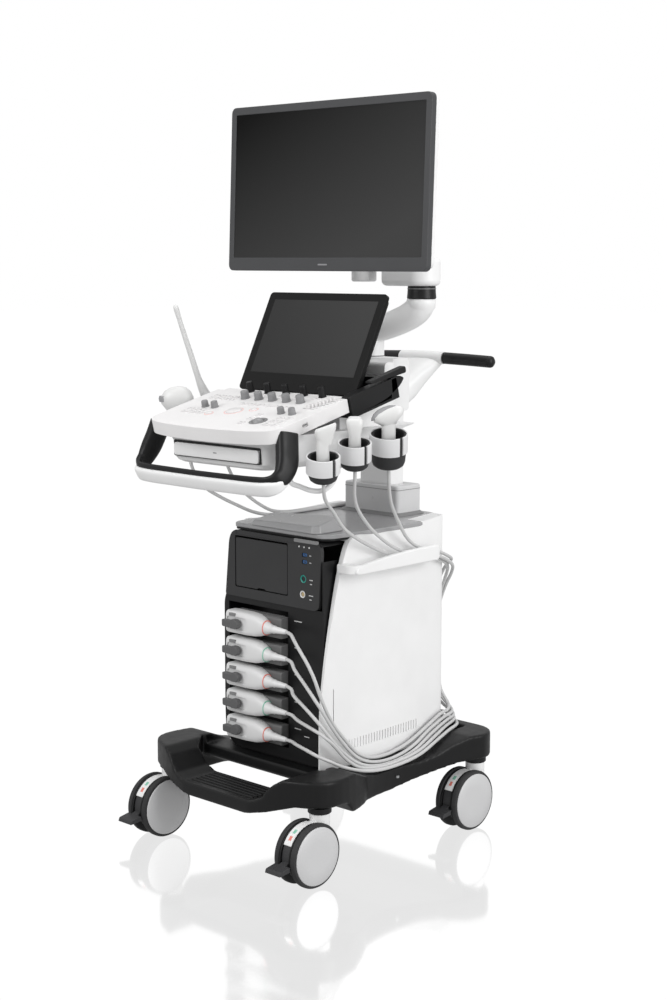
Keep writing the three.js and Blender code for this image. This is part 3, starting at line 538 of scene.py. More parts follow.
# ---------------------------------------------------------------- monitor
def monitor():
    """The screen with its bezel, and the white back with a hump and two ears."""
    w, h = 278, 169.75
    picture = round_rect(-263.5, 263.5, -142.75, 153.75, 1.5)
    bezel = rim(round_rect(-w, w, -h, h, 12), picture, 0, 14, 6)
    on_monitor("monitor_bezel", bezel, BEZEL, ["monitor"], bevel=1.2)
    glass = prism("y", round_rect(-265, 265, -144, 155, 2), 1.6, 8)
    on_monitor("monitor_glass", glass, PAINTED_SHEEN_GLASS)
    back = prism("y", round_rect(-w + 5, w - 5, -h + 5, h - 5, 14), 13.5, 28)
    hump = prism("y", round_rect(-90, 90, -96, 60, 16), 26, 36)
    vents = [box(u, u + 3, 27, 29, 96, 122) for u in range(-100, 100, 8)]
    on_monitor("monitor_back", carved(back, *vents), WHITE, bevel=5, rings=4)
    on_monitor("monitor_hump", hump, WHITE, bevel=4)
    seam = rim(round_rect(-w + 2, w - 2, -h + 2, h - 2, 12),
               round_rect(-w + 12, w - 12, -h + 12, h - 12, 8), 12.8, 14.4, 14.2)
    on_monitor("monitor_seam", seam, DARK)
    outline = rounded([(33, -68, 2), (72, -66, 10), (72, -42, 10), (33, -40, 2)])
    for side, x in (("left", -37), ("right", 30)):
        on_monitor(f"monitor_ear_{side}", prism("x", outline, x, x + 7), WHITE, bevel=1.2)
    mark = prism("y", round_rect(-13, 13, -158.5, -155.5, 1.4), -0.2, 1)
    on_monitor("monitor_mark", mark, GREY_PRINT)


def monitor_mount():
    """The barrel on the arm's end and the bent arm up to the monitor's hinge."""
    hinge = at(MOUNT_AXIS[0], 119.78, 1268.43)
    barrel = lathe([(0, 1133), (23, 1133), (26, 1136), (26, 1156), (24.5, 1157.5), (0, 1157.5)])
    upper = lathe([(0, 1176.5), (24.5, 1176.5), (26, 1178), (26, 1189), (23, 1192), (0, 1192)])
    here = at(*MOUNT_AXIS)
    for name, shape in (("lower", barrel), ("upper", upper)):
        on_mount(f"mount_barrel_{name}", shape, WHITE, ["monitor_mount"] if name == "lower" else (),
                 matrix=here)
    pin = lathe([(0, 1150), (8, 1150), (8, 1180), (0, 1180)], 20)
    on_mount("mount_pin", pin, STEEL, matrix=here)
    arm = prism("x", rounded([(110, 1177, 4), (182, 1177, 3), (182, 1192, 3), (134, 1192, 20),
                              (129, 1212, 14), (129, 1278, 8), (111, 1278, 8)]), -46.6, 1.4)
    on_mount("mount_arm", arm, WHITE, bevel=3)
    axle = lathe([(0, -39), (7, -39), (7, 39), (0, 39)], 24)
    on_mount("mount_axle", axle, STEEL, matrix=hinge @ turned(90, "Y"))


def arm():
    """The post and lower arm, the black collar, and the upper arm."""
    x, y, _ = ARM_AXIS
    upper = fitted("arm_upper")
    lower = fitted("arm_lower")
    plan = [(40, y - 38), (x, y - 38)]
    plan += [(x + 38 * math.sin(a), y - 38 * math.cos(a))
             for a in (math.pi * i / 20 for i in range(1, 20))]
    plan += [(x, y + 38), (44, y + 18)]
    beam = prism("z", plan, 1125, 1184)
    upper("arm_upper_beam", beam, WHITE, ["arm_upper"], bevel=11, rings=5)
    tongue = carved(prism("z", round_rect(-40.6, 60, 163, 197, 12), 1158, 1176),
                    moved(lathe([(0, 1150), (8.5, 1150), (8.5, 1185), (0, 1185)], 24), at(*MOUNT_AXIS)))
    upper("arm_upper_tongue", tongue, MID_GREY, slot="white_shell", bevel=1)
    collar = lathe([(0, 1099), (28, 1099), (30, 1101), (29, 1112), (28.4, 1124), (27, 1126), (0, 1126)])
    upper("arm_collar", collar, BLACK, matrix=at(*ARM_AXIS))
    groove = lathe([(27.6, 1119), (29.4, 1119), (29.4, 1120.4), (27.6, 1120.4)], closed=True)
    upper("arm_collar_ring", groove, MID_GREY, slot="charcoal_shell", matrix=at(*ARM_AXIS))
    route = [(-6, 180, 1030), (26, 182, 1038), (62, 187, 1050), (94, 192, 1064), (114, 195, 1079),
             (121, 196, 1093)]
    beam = swept(smooth_path(route, 5), lambda s: (25 + 2 * s, 26 + 2 * s, 2.4), 32)
    lower("arm_lower_beam", beam, WHITE, ["arm_lower"])
    neck = lathe([(0, 1066), (20, 1068), (28, 1082), (29, 1090), (29, 1096.5), (27.5, 1098.6),
                  (0, 1098.6)])
    lower("arm_lower_neck", neck, WHITE, matrix=at(*ARM_AXIS))
    post = lathe([(0, 976.6), (26, 976.6), (26, 1046), (23, 1056), (16, 1058), (0, 1058)])
    lower("arm_lower_post", post, WHITE, matrix=at(0, 180, 0))
    ring = lathe([(24, 979), (26.4, 979), (26.4, 981.4), (24, 981.4)], closed=True)
    lower("arm_lower_ring", ring, MID_GREY, slot="black_shell", matrix=at(0, 180, 0))


# ---------------------------------------------------------------- touch screen
def touch_screen():
    """The tilting screen above the console."""
    picture = round_rect(-144.3, 144.3, 32, 194, 1)
    bezel = rim(round_rect(-162.5, 162.5, -7, 210, 8), picture, 0, 9, 4)
    on_touch("touch_bezel", bezel, TOUCH_BLACK, ["touch_screen"], bevel=0.8)
    glass = prism("y", round_rect(-145, 145, 31, 195, 1), 0.5, 5)
    on_touch("touch_glass", glass, PAINTED_SHEEN_TOUCH_GLASS)
    back = prism("y", round_rect(-156.5, 156.5, 6, 204, 8), 8.5, 20)
    on_touch("touch_back", back, BLACK, bevel=4)
    lug = prism("x", rounded([(19, 30, 2), (34, 40, 6), (34, 62, 8), (19, 90, 4)]), -60, 60)
    on_touch("touch_lug", lug, BLACK, bevel=2)
    pin = lathe([(0, -76), (5, -76), (5, 76), (0, 76)], 20)
    on_touch("touch_pin", pin, STEEL, matrix=ON_TOUCH @ at(0, 30, 50) @ turned(90, "Y"))
    vents = [box(u, u + 3, 19.4, 20.4, 150, 180) for u in range(-90, 90, 9)]
    on_touch("touch_vents", join(*vents), DARK)


def touch_base():
    """Black cheeks beside the touch screen, the floor under it and the ears for its pin."""
    wing = rounded([(152, 2, 2), (168, 4, 8), (250, 3, 10), (300, 2, 8), (312, -6, 6), (296, -19, 24),
                    (258, -31, 20), (205, -35, 30), (152, -36, 2)])
    cheek = prism("x", wing, 164.5, 187)
    far_cheek = mirrored(carved(cheek, box(150, 200, 100, 252, -60, 40)))
    ledge = rounded([(215, 15, 3), (320, 16, 5), (320, 2, 6), (262, 6, 8), (215, 9, 3)])
    rest = prism("x", ledge, 172, 188)
    floor = prism("x", [(152, -40), (290, -40), (290, 4), (274, 4), (268, -35), (152, -35)], -187, 187)
    ear = prism("x", rounded([(238, -32, 1), (255, -32, 1), (255, 22, 8.5), (238, 22, 8.5)]), 62, 74)
    for name, shape in (("cheek_right", cheek), ("cheek_left", far_cheek), ("rest_right", rest)):
        on_slope(f"touch_{name}", shape, BLACK, bevel=2.2)
    on_slope("touch_floor", floor, BLACK, ["touch_base"], bevel=1.5)
    for name, shape in (("right", ear), ("left", mirrored(ear))):
        on_slope(f"touch_ear_{name}", shape, BLACK, bevel=1)


# ---------------------------------------------------------------- console
BALL = (94, -5)


def console_shell():
    """The sloped top with the trackball in its seat."""
    half = 182
    plan = rounded([(half, 150, 1), (163, 150, 1), (163, 162, 2), (-163, 162, 2), (-163, 150, 1),
                    (-half, 150, 1), (-half, 0, 20), (-half + 4, -46, 34), (-124, -61, 40), (0, -69, 100),
                    (124, -61, 40), (half - 4, -46, 34), (half, 0, 20)], 8)
    slab = prism("z", plan, -27, 0)
    seat = lathe([(0, -24), (18.2, -24), (18.2, 6), (0, 6)], 40)
    slot = box(half - 4, half + 2, 22, 37, -17.5, -10)
    top = carved(slab, moved(seat, at(*BALL, 0)), slot)
    on_slope("console_top", top, TOP_WHITE, ["console_shell"], bevel=7, rings=5)
    tongue = box(half - 4, half - 1, 24, 35, -14.5, -12.5)
    on_slope("console_usb_tongue", tongue, MID_GREY, slot="black_shell")
    collar = lathe([(11.8, -3), (18.4, -3), (18.4, 0.6), (17.2, 1.1), (13, 0.6), (11.8, -1)], 40,
                   closed=True)
    on_slope("trackball_collar", collar, MID_GREY, slot="pale_grey", matrix=ON_SLOPE @ at(*BALL, 0))
    levels = [math.pi * i / 18 for i in range(1, 18)]
    ball = lathe([(0, -13), *[(13 * math.sin(a), -13 * math.cos(a)) for a in levels], (0, 13)], 36)
    piece("trackball_ball", ball, BALL_GREY, ["trackball"], body="trackball",
          matrix=ON_SLOPE @ at(92, -4, -7))


def knob(name, u, v, r, height, finish):
    """A skirted knob, with flutes up its side."""
    steps = 72
    profile = ((1.12, 0), (1.12, 1.6), (1.0, 2.2), (0.93, height - 1.6), (0.8, height), (0.3, height))
    rings = []
    for level, (share, z) in enumerate(profile):
        ring = []
        for i in range(steps):
            a = math.tau * i / steps
            reach = r * (share - 0.05 if level in (2, 3) and i % 4 < 2 else share)
            ring.append((reach * math.cos(a), reach * math.sin(a), z))
        rings.append(ring)
    on_slope(name, loft(rings), finish, matrix=ON_SLOPE @ at(u, v, 0), sharp=25)


def controls():
    """Encoders behind, knobs in the middle and in front, and eight slide controls."""
    for i in range(5):
        knob(f"encoder_{i + 1}", -83.5 + 50 * i, 150, 7.2, 21, BLACK)
        knob(f"knob_{i + 1}", -58.5 + 38.5 * i, 110, 8.6, 16, KNOB)
    for i, (u, v) in enumerate(((-108, 46), (-81, 46.5), (106.5, 45), (136, 45))):
        knob(f"knob_small_{i + 1}", u, v, 7.2, 13, KNOB)
    for i in range(8):
        u, v = 144.5 + 2 * i, 81 + 8 * i
        groove = prism("z", round_rect(u - 15, u + 15, v - 1.1, v + 1.1, 1), -0.5, 0.15)
        on_slope(f"gain_groove_{i + 1}", groove, MID_GREY, slot="charcoal_shell")
        cap = rounded([(v - 3, 0, 0), (v + 3, 0, 0), (v + 1.4, 7.5, 1), (v - 1.4, 7.5, 1)])
        on_slope(f"gain_slider_{i + 1}", prism("x", cap, u - 5, u + 3), KEY, bevel=0.6)


def keys():
    """Low white keys in rows, with a soft lit legend on some."""
    rows = [
        ("menu", -150, 92, 4, 2, 19, 15, 15, 9), ("left", -140, 6, 3, 2, 22, 17, 17, 11),
        ("near_ball", 58, -28, 1, 3, 20, 24, 14, 13), ("right_pad", 122, -24, 2, 3, 22, 19, 16, 12),
        ("middle", -40, 74, 6, 1, 24, 0, 18, 9), ("upper", -46, 132, 5, 1, 50, 0, 22, 6),
    ]
    for name, u0, v0, count, lines, du, dv, w, h in rows:
        places = [(u0 + du * i, v0 + dv * j) for i in range(count) for j in range(lines)]
        caps = [prism("z", round_rect(u, u + w, v, v + h, 3), -1, 2) for u, v in places]
        on_slope(f"keys_{name}", join(*caps), KEY, bevel=0.7)
        middles = [(u + w / 2, v + h / 2) for u, v in places]
        legends = [
            prism("z", round_rect(u - 3, u + 3, v - 0.5, v + 0.5, 0.4), 1.9, 2.15) for u, v in middles
        ]
        on_slope(f"legends_{name}", join(*legends), GREY_PRINT)
    for name, u, v, r in (("measure", -16, 36, 19), ("freeze", 24, 52, 9), ("print", -62, 12, 9)):
        ring = lathe([(r - 0.6, -0.3), (r + 0.6, -0.3), (r + 0.6, 0.3), (r - 0.6, 0.3)], 48, closed=True)
        on_slope(f"lit_ring_{name}", ring, LIT_RED, matrix=ON_SLOPE @ at(u, v, 0))
        cap = lathe([(0, -1), (r - 3, -1), (r - 3, 1.5), (r - 4.5, 2.6), (0, 2.6)], 40)
        on_slope(f"round_key_{name}", cap, KEY, matrix=ON_SLOPE @ at(u, v, 0))


def casing():
    """The white lower casing with the drawer bay, and the tall box behind the screen."""
    rings = []
    for z, half, front, back in ((786, 122, -246, -44), (790, 130, -253, -40), (798, 136, -257, 10),
                                 (828, 139, -258, 60), (840, 146, -262, 110), (852, 158, -272, 150)):
        rings.append([(u, v, z) for u, v in round_rect(-half, half, front, back, 22)])
    bay = box(-121, 121, -300, -66, 799, 828)
    body = carved(loft(rings), bay)
    on_console("console_casing", body, WHITE, ["console_under"], bevel=2, sharp=30)
    side = rounded([(-60, 850, 4), (-20, 838, 10), (60, 838, 12), (150, 862, 12), (246, 866, 10),
                    (246, 960, 12), (240, 976, 8), (70, 976, 10), (66, 910, 6), (-60, 878, 4)])
    taper = [(136, -70), (136, 96), (66, 172), (44, 252), (220, 252), (220, -70)]
    outside = prism("z", taper, 800, 1000)
    box_shape = carved(prism("x", side, -136, 136), outside, mirrored(outside))
    on_console("console_rear_box", box_shape, WHITE, bevel=9, rings=4, sharp=30)
    lining = rim(round_rect(-121.6, 121.6, 798.4, 830, 4),
                 round_rect(-120.6, 120.6, 799.4, 827, 4), -260, -250, -255)
    on_console("drawer_seal", lining, DARK)


def drawer():
    """A tray with a keyboard in it."""
    tray = carved(box(-119, 119, -258, -70, 801, 825), box(-113, 113, -252, -76, 809, 832))
    on_drawer("drawer_tray", tray, WHITE, ["keyboard_drawer"], bevel=0.8)
    front = prism("y", round_rect(-119.4, 119.4, 800, 825.4, 6), -263, -257)
    on_drawer("drawer_front", front, WHITE, bevel=1.6)
    mark = prism("y", round_rect(-5, 5, 811.4, 813.2, 0.9), -263.3, -262.5)
    on_drawer("drawer_mark", mark, GREY_PRINT)
    caps = []
    for row in range(5):
        count = 15 - row % 2
        for i in range(count):
            x = -105 + 14.6 * i + 3 * (row % 3)
            caps.append(prism("z", round_rect(x - 5.8, x + 5.8, -128 - 24 * row, -110 - 24 * row, 1.6),
                              812, 815.5))
    on_drawer("drawer_keys", join(*caps), KEY, bevel=0.8)
    on_drawer("drawer_deck", box(-112.5, 112.5, -251, -77, 809, 812.5), PALE)


# ---------------------------------------------------------------- handles
HANDLE_REACH = 9


def front_handle():
    """A flat black bow between the two arms, on a white lower shell."""
    half = [(0, -298, 768), (80, -298, 768.5), (146, -297, 769.5), (174, -293, 771), (188, -283, 776),
            (191, -269, 786), (189, -257, 804), (181, -248, 831), (173, -241, 860)]
    route = [*[(-x - HANDLE_REACH * min(1, x / 140), y, z) for x, y, z in half[:0:-1]], *half]

    def bow(share):
        end = min(share, 1 - share)
        rise = max(0.0, min(1.0, (0.2 - end) / 0.12))
        rise = rise * rise * (3 - 2 * rise)
        return 5.5 + 7.5 * rise, 14 + 9 * rise, 3

    black = swept(smooth_path(route, 5), bow, 28, (0, -1, 0))
    on_console("handle_grip", black, BLACK, ["front_handle"], sharp=60)
    lower = [(0, -299, 758.5), (80, -299, 759), (146, -298, 759.5), (176, -294, 761), (191, -283, 765),
             (196, -268, 774), (197, -254, 789)]
    route = [*[(-x - HANDLE_REACH * min(1, x / 140), y, z) for x, y, z in lower[:0:-1]], *lower]

    def shell(share):
        end = min(share, 1 - share)
        return 7.5 * min(1, 0.25 + 6 * end), 14.5 * min(1, 0.4 + 5 * end), 3

    on_console("handle_shell", swept(smooth_path(route, 5), shell, 28, (0, -1, 0)), WHITE, sharp=60)


def rear_handle():
    """A leaning bracket with a bar across its top."""
    rings = []
    lean = math.radians(40)
    for y, z, w, h in ((246, 886, 24, 19), (258, 888, 25, 22), (280, 905, 29, 25), (305, 930, 37, 22),
                       (330, 952, 47, 17), (345, 966, 54, 14), (352, 970, 56, 9)):
        rise, run = h * math.cos(lean), h * math.sin(lean)
        rings.append([(u * w, y - v * run, z + v * rise) for u, v in superellipse(3, 28)])
    on_console("rear_bracket", loft(rings), WHITE, ["rear_handle"], sharp=60)
    half = [(180, 360, 966), (120, 353, 968.5), (60, 343.5, 970.7)]
    for name, side in (("right", 1), ("left", -1)):
        path = smooth_path([(side * x, y, z) for x, y, z in half], 4)
        grip = swept(path, lambda s: (12.5 * min(1, 0.5 + 12 * s), 12.5 * min(1, 0.5 + 12 * s), 2), 24)
        on_console(f"rear_grip_{name}", grip, BLACK, sharp=60)
    middle = [(58, 343.2, 970.8), (30, 340.4, 971.4), (0, 339.5, 971.6)]
    middle += [(-x, y, z) for x, y, z in middle[-2::-1]]
    tube = swept(smooth_path(middle, 4), lambda s: (13.2, 13.2, 2), 28)
    on_console("rear_tube", tube, WHITE, sharp=60)


def cable_hook():
    """A J of rod under the right holder."""
    route = [(172, -232, 778), (180, -236, 768), (188, -222, 761), (204, -206, 753), (220, -193, 754),
             (230, -180, 766), (232, -168, 786)]
    hook = swept(smooth_path(route, 4), lambda s: (4.8, 4.8, 2), 16)
    on_console("lead_hook", hook, WHITE, ["cable_hook"], sharp=60)


# ---------------------------------------------------------------- holders and probes
CUP_X = 232
CUP_LEAN = math.radians(15)
LEAN_AXIS = (0.72, 0.69)
# Each cup's place along Y, radius, top, lower edge of its band, and foot.
CUPS = ((-205, 32, 822, 789, 772), (-120, 32, 841, 805, 789), (-25, 37, 851, 814, 784))


def band(r, inner, z0, z1, gap, half_gap):
    """A ring with rounded rims and one vertical slit at the angle gap."""
    rings = []
    for i in range(49):
        a = gap + half_gap + (math.tau - 2 * half_gap) * i / 48
        wall = rounded([(inner, z0, 0.8), (r, z0, 1.2), (r, z1, 1.4), (inner, z1, 1.4)], 3)
        rings.append([(d * math.cos(a), d * math.sin(a), z) for d, z in wall])
    return loft(rings)


def cup(name, x, y, r, top, ring, bottom, gap):
    """One holder, leaning out over the front corner."""
    side = math.copysign(1, x)
    lean = Matrix.Rotation(side * CUP_LEAN, 4, Vector((LEAN_AXIS[0], side * LEAN_AXIS[1], 0)))
    here = at(x, y, ring + 6) @ lean @ at(0, 0, -ring - 6)
    on_console(name + "_band", band(r, r - 3, ring, top, gap, 0.12), PALE, matrix=here)
    liner = lathe([(11, bottom), (r - 12, bottom), (r - 7, bottom + 4), (r - 4.5, bottom + 11),
                   (r - 3.2, ring), (r - 3.2, top - 1.5), (r - 5, top - 0.5), (r - 7, top - 2),
                   (r - 9, ring), (r - 10, bottom + 14), (11, bottom + 6)], 40, closed=True)
    on_console(name + "_liner", liner, DARK, matrix=here)


def holders():
    """The cups and the rails that carry them."""
    for side, cups in (("right", CUPS), ("left", CUPS[1:])):
        sign = 1 if side == "right" else -1
        for i, (y, r, top, ring, bottom) in enumerate(cups):
            cup(f"cup_{side}_{i + 1}", sign * CUP_X, y, r, top, ring, bottom,
                -0.1 if sign > 0 else math.pi + 0.1)
        if side == "right":
            edge = rounded([(-206, 800, 8), (-8, 846, 10), (-8, 822, 6), (-60, 806, 12), (-150, 780, 12),
                            (-206, 778, 8)])
        else:
            edge = rounded([(-120, 822, 6), (-8, 846, 10), (-8, 822, 6), (-60, 800, 12), (-120, 796, 8)])
        rail = prism("x", edge, 192, 202)
        on_console(f"holder_rail_{side}", rail if sign > 0 else mirrored(rail), WHITE,
                   [f"probe_holder_{side}"], slot="pale_grey", bevel=3)
        stub = box(134, 196, -60, -28, 822, 838)
        on_console(f"holder_stub_{side}", stub if sign > 0 else mirrored(stub), WHITE, bevel=3)


def tilted(x, y, z, spin, rise):
    """Turned about Z, with the top sloping up to one side."""
    shear = Matrix.Identity(4)
    shear[2][0] = rise
    return at(x, y, z) @ turned(spin) @ shear


def probes():
    """Linear, phased and convex on the right, wide convex and cavity on the left."""
    grip = stations([(788, 6, 6, 2), (792, 9, 8, 2), (805, 12, 10, 2.4), (836, 12, 10, 2.6, -1, 0),
                     (850, 13, 10, 2.6, 1, 0), (858, 15, 10, 2.6, 4, 0)])
    on_console("linear_grip", grip, PROBE, ["probe_linear"], matrix=at(CUP_X, -205, 0) @ turned(43),
               sharp=60)
    head = stations([(-30, 12, 10, 2.6), (-16, 15, 11, 2.8), (-6, 19, 12, 3), (2, 20, 12, 3.2),
                     (6, 19.5, 11, 3.2), (8, 17, 8, 3)])
    on_console("linear_head", head, PROBE, matrix=tilted(CUP_X + 3, -202, 868, 43, 0.35), sharp=60)
    strip = stations([(7, 17, 7, 4), (10, 16.5, 6.5, 4), (10.8, 15, 5, 4)])
    on_console("linear_lens", strip, DARK, matrix=tilted(CUP_X + 3, -202, 868, 43, 0.35))

    small = stations([(806, 6, 6, 2), (812, 10, 9, 2.4), (826, 12, 10.5, 2.8),
                      (852, 11.5, 10.5, 2.8), (862, 13.5, 12, 3), (870, 15.5, 12, 3.2),
                      (879, 16, 12, 3.2), (883, 14, 10, 3), (884.5, 9, 6, 3)])
    on_console("phased_body", small, PROBE, ["probe_phased"], matrix=at(CUP_X, -120, 0) @ turned(40),
               sharp=60)
    face = stations([(882, 12.5, 8.5, 3), (886, 12, 8, 3), (887.5, 9, 6, 3)])
    on_console("phased_lens", face, PALE, matrix=at(CUP_X, -120, 0) @ turned(40))

    neck = stations([(802, 7, 7, 2), (810, 12, 10, 2.4), (824, 13.5, 11.5, 2.8),
                     (862, 13.5, 11.5, 2.8), (874, 15, 12, 2.8, 1, 0)])
    on_console("convex_grip", neck, PROBE, ["probe_convex"], matrix=at(CUP_X, -25, 0) @ turned(43),
               sharp=60)
    fan = stations([(-16, 13, 11, 2.8, 2, 0), (-9, 19, 14, 2.8, 1, 0), (-2, 28, 15, 2.8),
                    (6, 29.5, 15, 2.6), (12, 26, 13, 2.5, 1, 0), (17, 18, 9, 2.4, 2, 0),
                    (19, 8, 4, 2, 2, 0)])
    on_console("convex_head", fan, PROBE, matrix=tilted(CUP_X, -25, 880, 43, 0.3), sharp=60)
    dome = stations([(2, 29.5, 11, 2.6, -2.5, 0), (7, 29, 11, 2.6, -3, 0), (13.5, 25, 10, 2.4, -3.5, 0),
                     (19, 17, 8, 2.4, -4, 0), (21.6, 7, 4, 2, -4, 0)])
    on_console("convex_lens", dome, LENS, matrix=tilted(CUP_X - 1, -26, 880, 43, 0.3), sharp=60)

    stem = stations([(806, 7, 7, 2), (814, 11, 10, 2.4), (840, 12.5, 11, 2.6),
                     (862, 14, 12, 2.6, -4, -2)])
    on_console("wide_convex_grip", stem, PROBE, ["probe_wide_convex"], matrix=at(-CUP_X, -120, 0),
               sharp=60)
    egg = stations([(-32, 16, 13, 2.2, 8, 0), (-24, 25, 17, 2.2, 4, 0), (-8, 34, 20, 2.2),
                    (6, 34, 19, 2.2, -1, 0), (18, 27, 15, 2.2), (25, 17, 9, 2, 2, 0),
                    (28, 6, 4, 2, 3, 0)])
    on_console("wide_convex_head", egg, PROBE, matrix=at(-256, -132, 892) @ turned(43), sharp=60)
    belt = stations([(-4, 35, 17, 2.2, -1.5, 0), (2, 36, 16.5, 2.2, -2, 0), (8, 34.6, 16, 2.2, -2, 0)])
    on_console("wide_convex_lens", belt, LENS, matrix=at(-257, -133, 892) @ turned(43), sharp=60)

    route = smooth_path([(-232, -25, 804), (-233, -30, 830), (-237, -42, 858), (-242, -58, 886),
                         (-245, -78, 922), (-247, -105, 990), (-249, -128, 1050), (-250, -141, 1086)], 4)

    def girth(share):
        table = ((0, 7), (0.05, 11), (0.28, 12), (0.36, 10.5), (0.48, 6.4), (0.9, 4.9), (0.96, 5.6),
                 (0.99, 5.2), (1, 3))
        for (s0, r0), (s1, r1) in zip(table, table[1:]):
            if share <= s1:
                wide = r0 + (r1 - r0) * (share - s0) / (s1 - s0)
                return wide, wide, 2
        return 3, 3, 2

    on_console("cavity_wand", swept(route, girth, 24, (1, 0, 0)), PROBE, ["probe_cavity"], sharp=60)


# ---------------------------------------------------------------- column and deck
def column():
    """The fixed cover on the deck and the mast that slides in it."""
    cover = carved(prism("z", round_rect(-77, 77, 177, 252, 9), 560, 712),
                   box(-44, 44, 188.5, 236.5, 500, 800))
    piece("column_cover", cover, COVER_GREY, ["column_outer"], bevel=3)
    seam = carved(prism("z", round_rect(-77.4, 77.4, 176.6, 252.4, 9), 702.6, 703.8),
                  box(-70, 70, 184, 246, 700, 706))
    piece("column_seam", seam, MID_GREY, slot="charcoal_shell")
    apron = carved(loft([[(u, v, 650.3) for u, v in round_rect(-86, 86, 168, 258, 12)],
                         [(u, v, 656) for u, v in round_rect(-78.5, 78.5, 175.5, 252.5, 9)]]),
                   box(-70, 70, 184, 246, 640, 670))
    piece("column_apron", apron, MID_GREY, slot="charcoal_shell")
    mast = prism("z", round_rect(-43, 43, 189.5, 235.5, 6), 346, 867)
    on_console("mast", mast, WHITE, ["column_inner"], bevel=1.5)


def deck():
    """The smoked plate over the body, with a hood along its front."""
    plan = rounded([(128, -108, 8), (146, -90, 8), (161, 30, 60), (160, 180, 40), (100, 276, 30),
                    (-100, 276, 30), (-124, 220, 20), (-126, 30, 60), (-122, -90, 8), (-112, -108, 8)], 6)
    opening = box(-78, 78, 176, 253, 600, 700)
    plate = carved(prism("z", plan, 641, 650), opening)
    piece("deck_plate", plate, DECK_GREY, ["top_deck"], bevel=2)
    edge = carved(prism("z", [(u * 0.985, v * 0.99) for u, v in plan], 637, 641.5), opening)
    piece("deck_edge", edge, HOUSING_BLACK)
    foot = [(-62, -112, 650.2), (112, -114, 650.2), (127, -104, 650.2), (126, -38, 650.2),
            (-64, -40, 650.2)]
    crown = [(-57, -108, 661), (108, -109, 665), (121, -100, 666), (120, -42, 679), (-59, -46, 670)]
    piece("deck_hood", loft([foot, crown]), HOOD_GREY, bevel=2.2, sharp=20)


# ---------------------------------------------------------------- body
def body_front():
    """The black housing with its connector bay, and the panel of ports."""
    right = [(122, 183, 14), (139, 192, 20), (142.5, 250, 60), (142.5, 400, 60), (140, 560, 60),
             (136, 635, 12)]
    left = [(-110, 636, 12), (-124, 600, 60), (-132, 510, 10), (-142, 488, 12), (-142.5, 250, 60),
            (-139, 204, 24), (-112, 183, 20)]
    outline = rounded(right + left, 5)
    shell = carved(prism("y", outline, -111, -20), box(-128, 44, -130, -53, 208, 486),
                   box(-110, 138, -130, -30, 500, 626))
    piece("housing", shell, HOUSING_BLACK, ["front_housing"], bevel=3.5, rings=4)
    panel = prism("y", rounded([(-135, 499, 6), (118, 499, 4), (131, 503, 12), (137, 622, 12),
                                (128, 636, 10), (-110, 636, 12), (-123, 620, 14)], 5), -114, -104.5)
    holes = [prism("y", round_rect(-106, 46, 519, 625, 3), -120, -100)]
    holes += [prism("y", round_rect(85.5, 99.5, z - 4, z + 4, 2), -120, -107) for z in (607, 593)]
    holes += [prism("y", circle(x, z, r), -120, -107) for x, z, r in ((89, 559, 8.2), (87, 528, 7.6))]
    piece("port_face", carved(panel, *holes), CHARCOAL, ["port_panel"], bevel=1.2)
    step = box(-104, -100, -114.4, -112, 627, 636)
    piece("port_step", join(step, box(-100, 128, -114.3, -113, 626.6, 627.6)), DARK)
    strip = prism("y", round_rect(64, 130, 630.5, 637.5, 2.5), -115, -112)
    piece("status_window", strip, MID_GREY, slot="grey_deck", bevel=0.5)
    dots = [prism("y", circle(x, 622.5, 1.7, 16), -114.5, -113) for x in (78, 92, 106)]
    piece("status_lights", join(*dots), PRINT)
    for i, z in enumerate((607, 593)):
        piece(f"usb_{i + 1}", prism("y", round_rect(87, 98, z - 2.8, z + 2.8, 1), -112.5, -106), BLUE)
        piece(f"usb_slit_{i + 1}", box(89, 96, -113, -110, z - 0.9, z + 0.9), DARK, slot="")
    for name, x, z, r, finish in (("teal", 89, 559, 8, TEAL), ("gold", 87, 528, 7.4, PRINT)):
        ring = lathe([(r - 2.4, 0), (r, 0), (r, 5), (r - 0.8, 6), (r - 2.4, 5)], 32, closed=True)
        core = lathe([(0, 1), (r - 3.4, 1), (r - 3.4, 3.6), (0, 3.6)], 24)
        facing = at(x, -108.5, z) @ turned(90, "X")
        piece(f"socket_{name}", ring, finish, matrix=facing)
        piece(f"socket_core_{name}", core, BRASS if name == "gold" else DARK, slot="", matrix=facing)
    marks = [(107, 111, 606), (107, 111, 592), (107, 116, 558), (108, 114, 550), (105, 117, 527),
             (107, 113, 519)]
    marks += [(62, 82, 470), (62, 70, 416), (62, 76, 361), (62, 72, 306), (62, 80, 252), (88, 102, 240)]
    dashes = [
        box(x0 + 3 * i, min(x0 + 3 * i + 2, x1), -114.3 if z > 500 else -111.3, -110.6, z, z + 1.8)
        for x0, x1, z in marks for i in range(math.ceil((x1 - x0) / 3))
    ]
    piece("panel_marks", join(*dashes), PRINT)


def door():
    """The printer's door, hung on a pin along its top."""
    leaf = prism("y", round_rect(-104, 44, 521, 621, 4), -113.4, -109.2)
    finger = rounded([(-48, 516, 0), (-12, 516, 0), (-20, 523.5, 3), (-40, 523.5, 3)])
    notch = prism("y", finger, -120, -100)
    piece("door_leaf", carved(leaf, notch), CHARCOAL, ["printer_door"], body="printer_door", bevel=1)
    pin = lathe([(0, -101), (2.4, -101), (2.4, 41), (0, 41)], 16)
    piece("door_pin", pin, STEEL, slot="charcoal_shell", body="printer_door",
          matrix=at(0, -108, 616.5) @ turned(90, "Y"))


TOP_PLUG = 454
PLUG_PITCH = 54.5


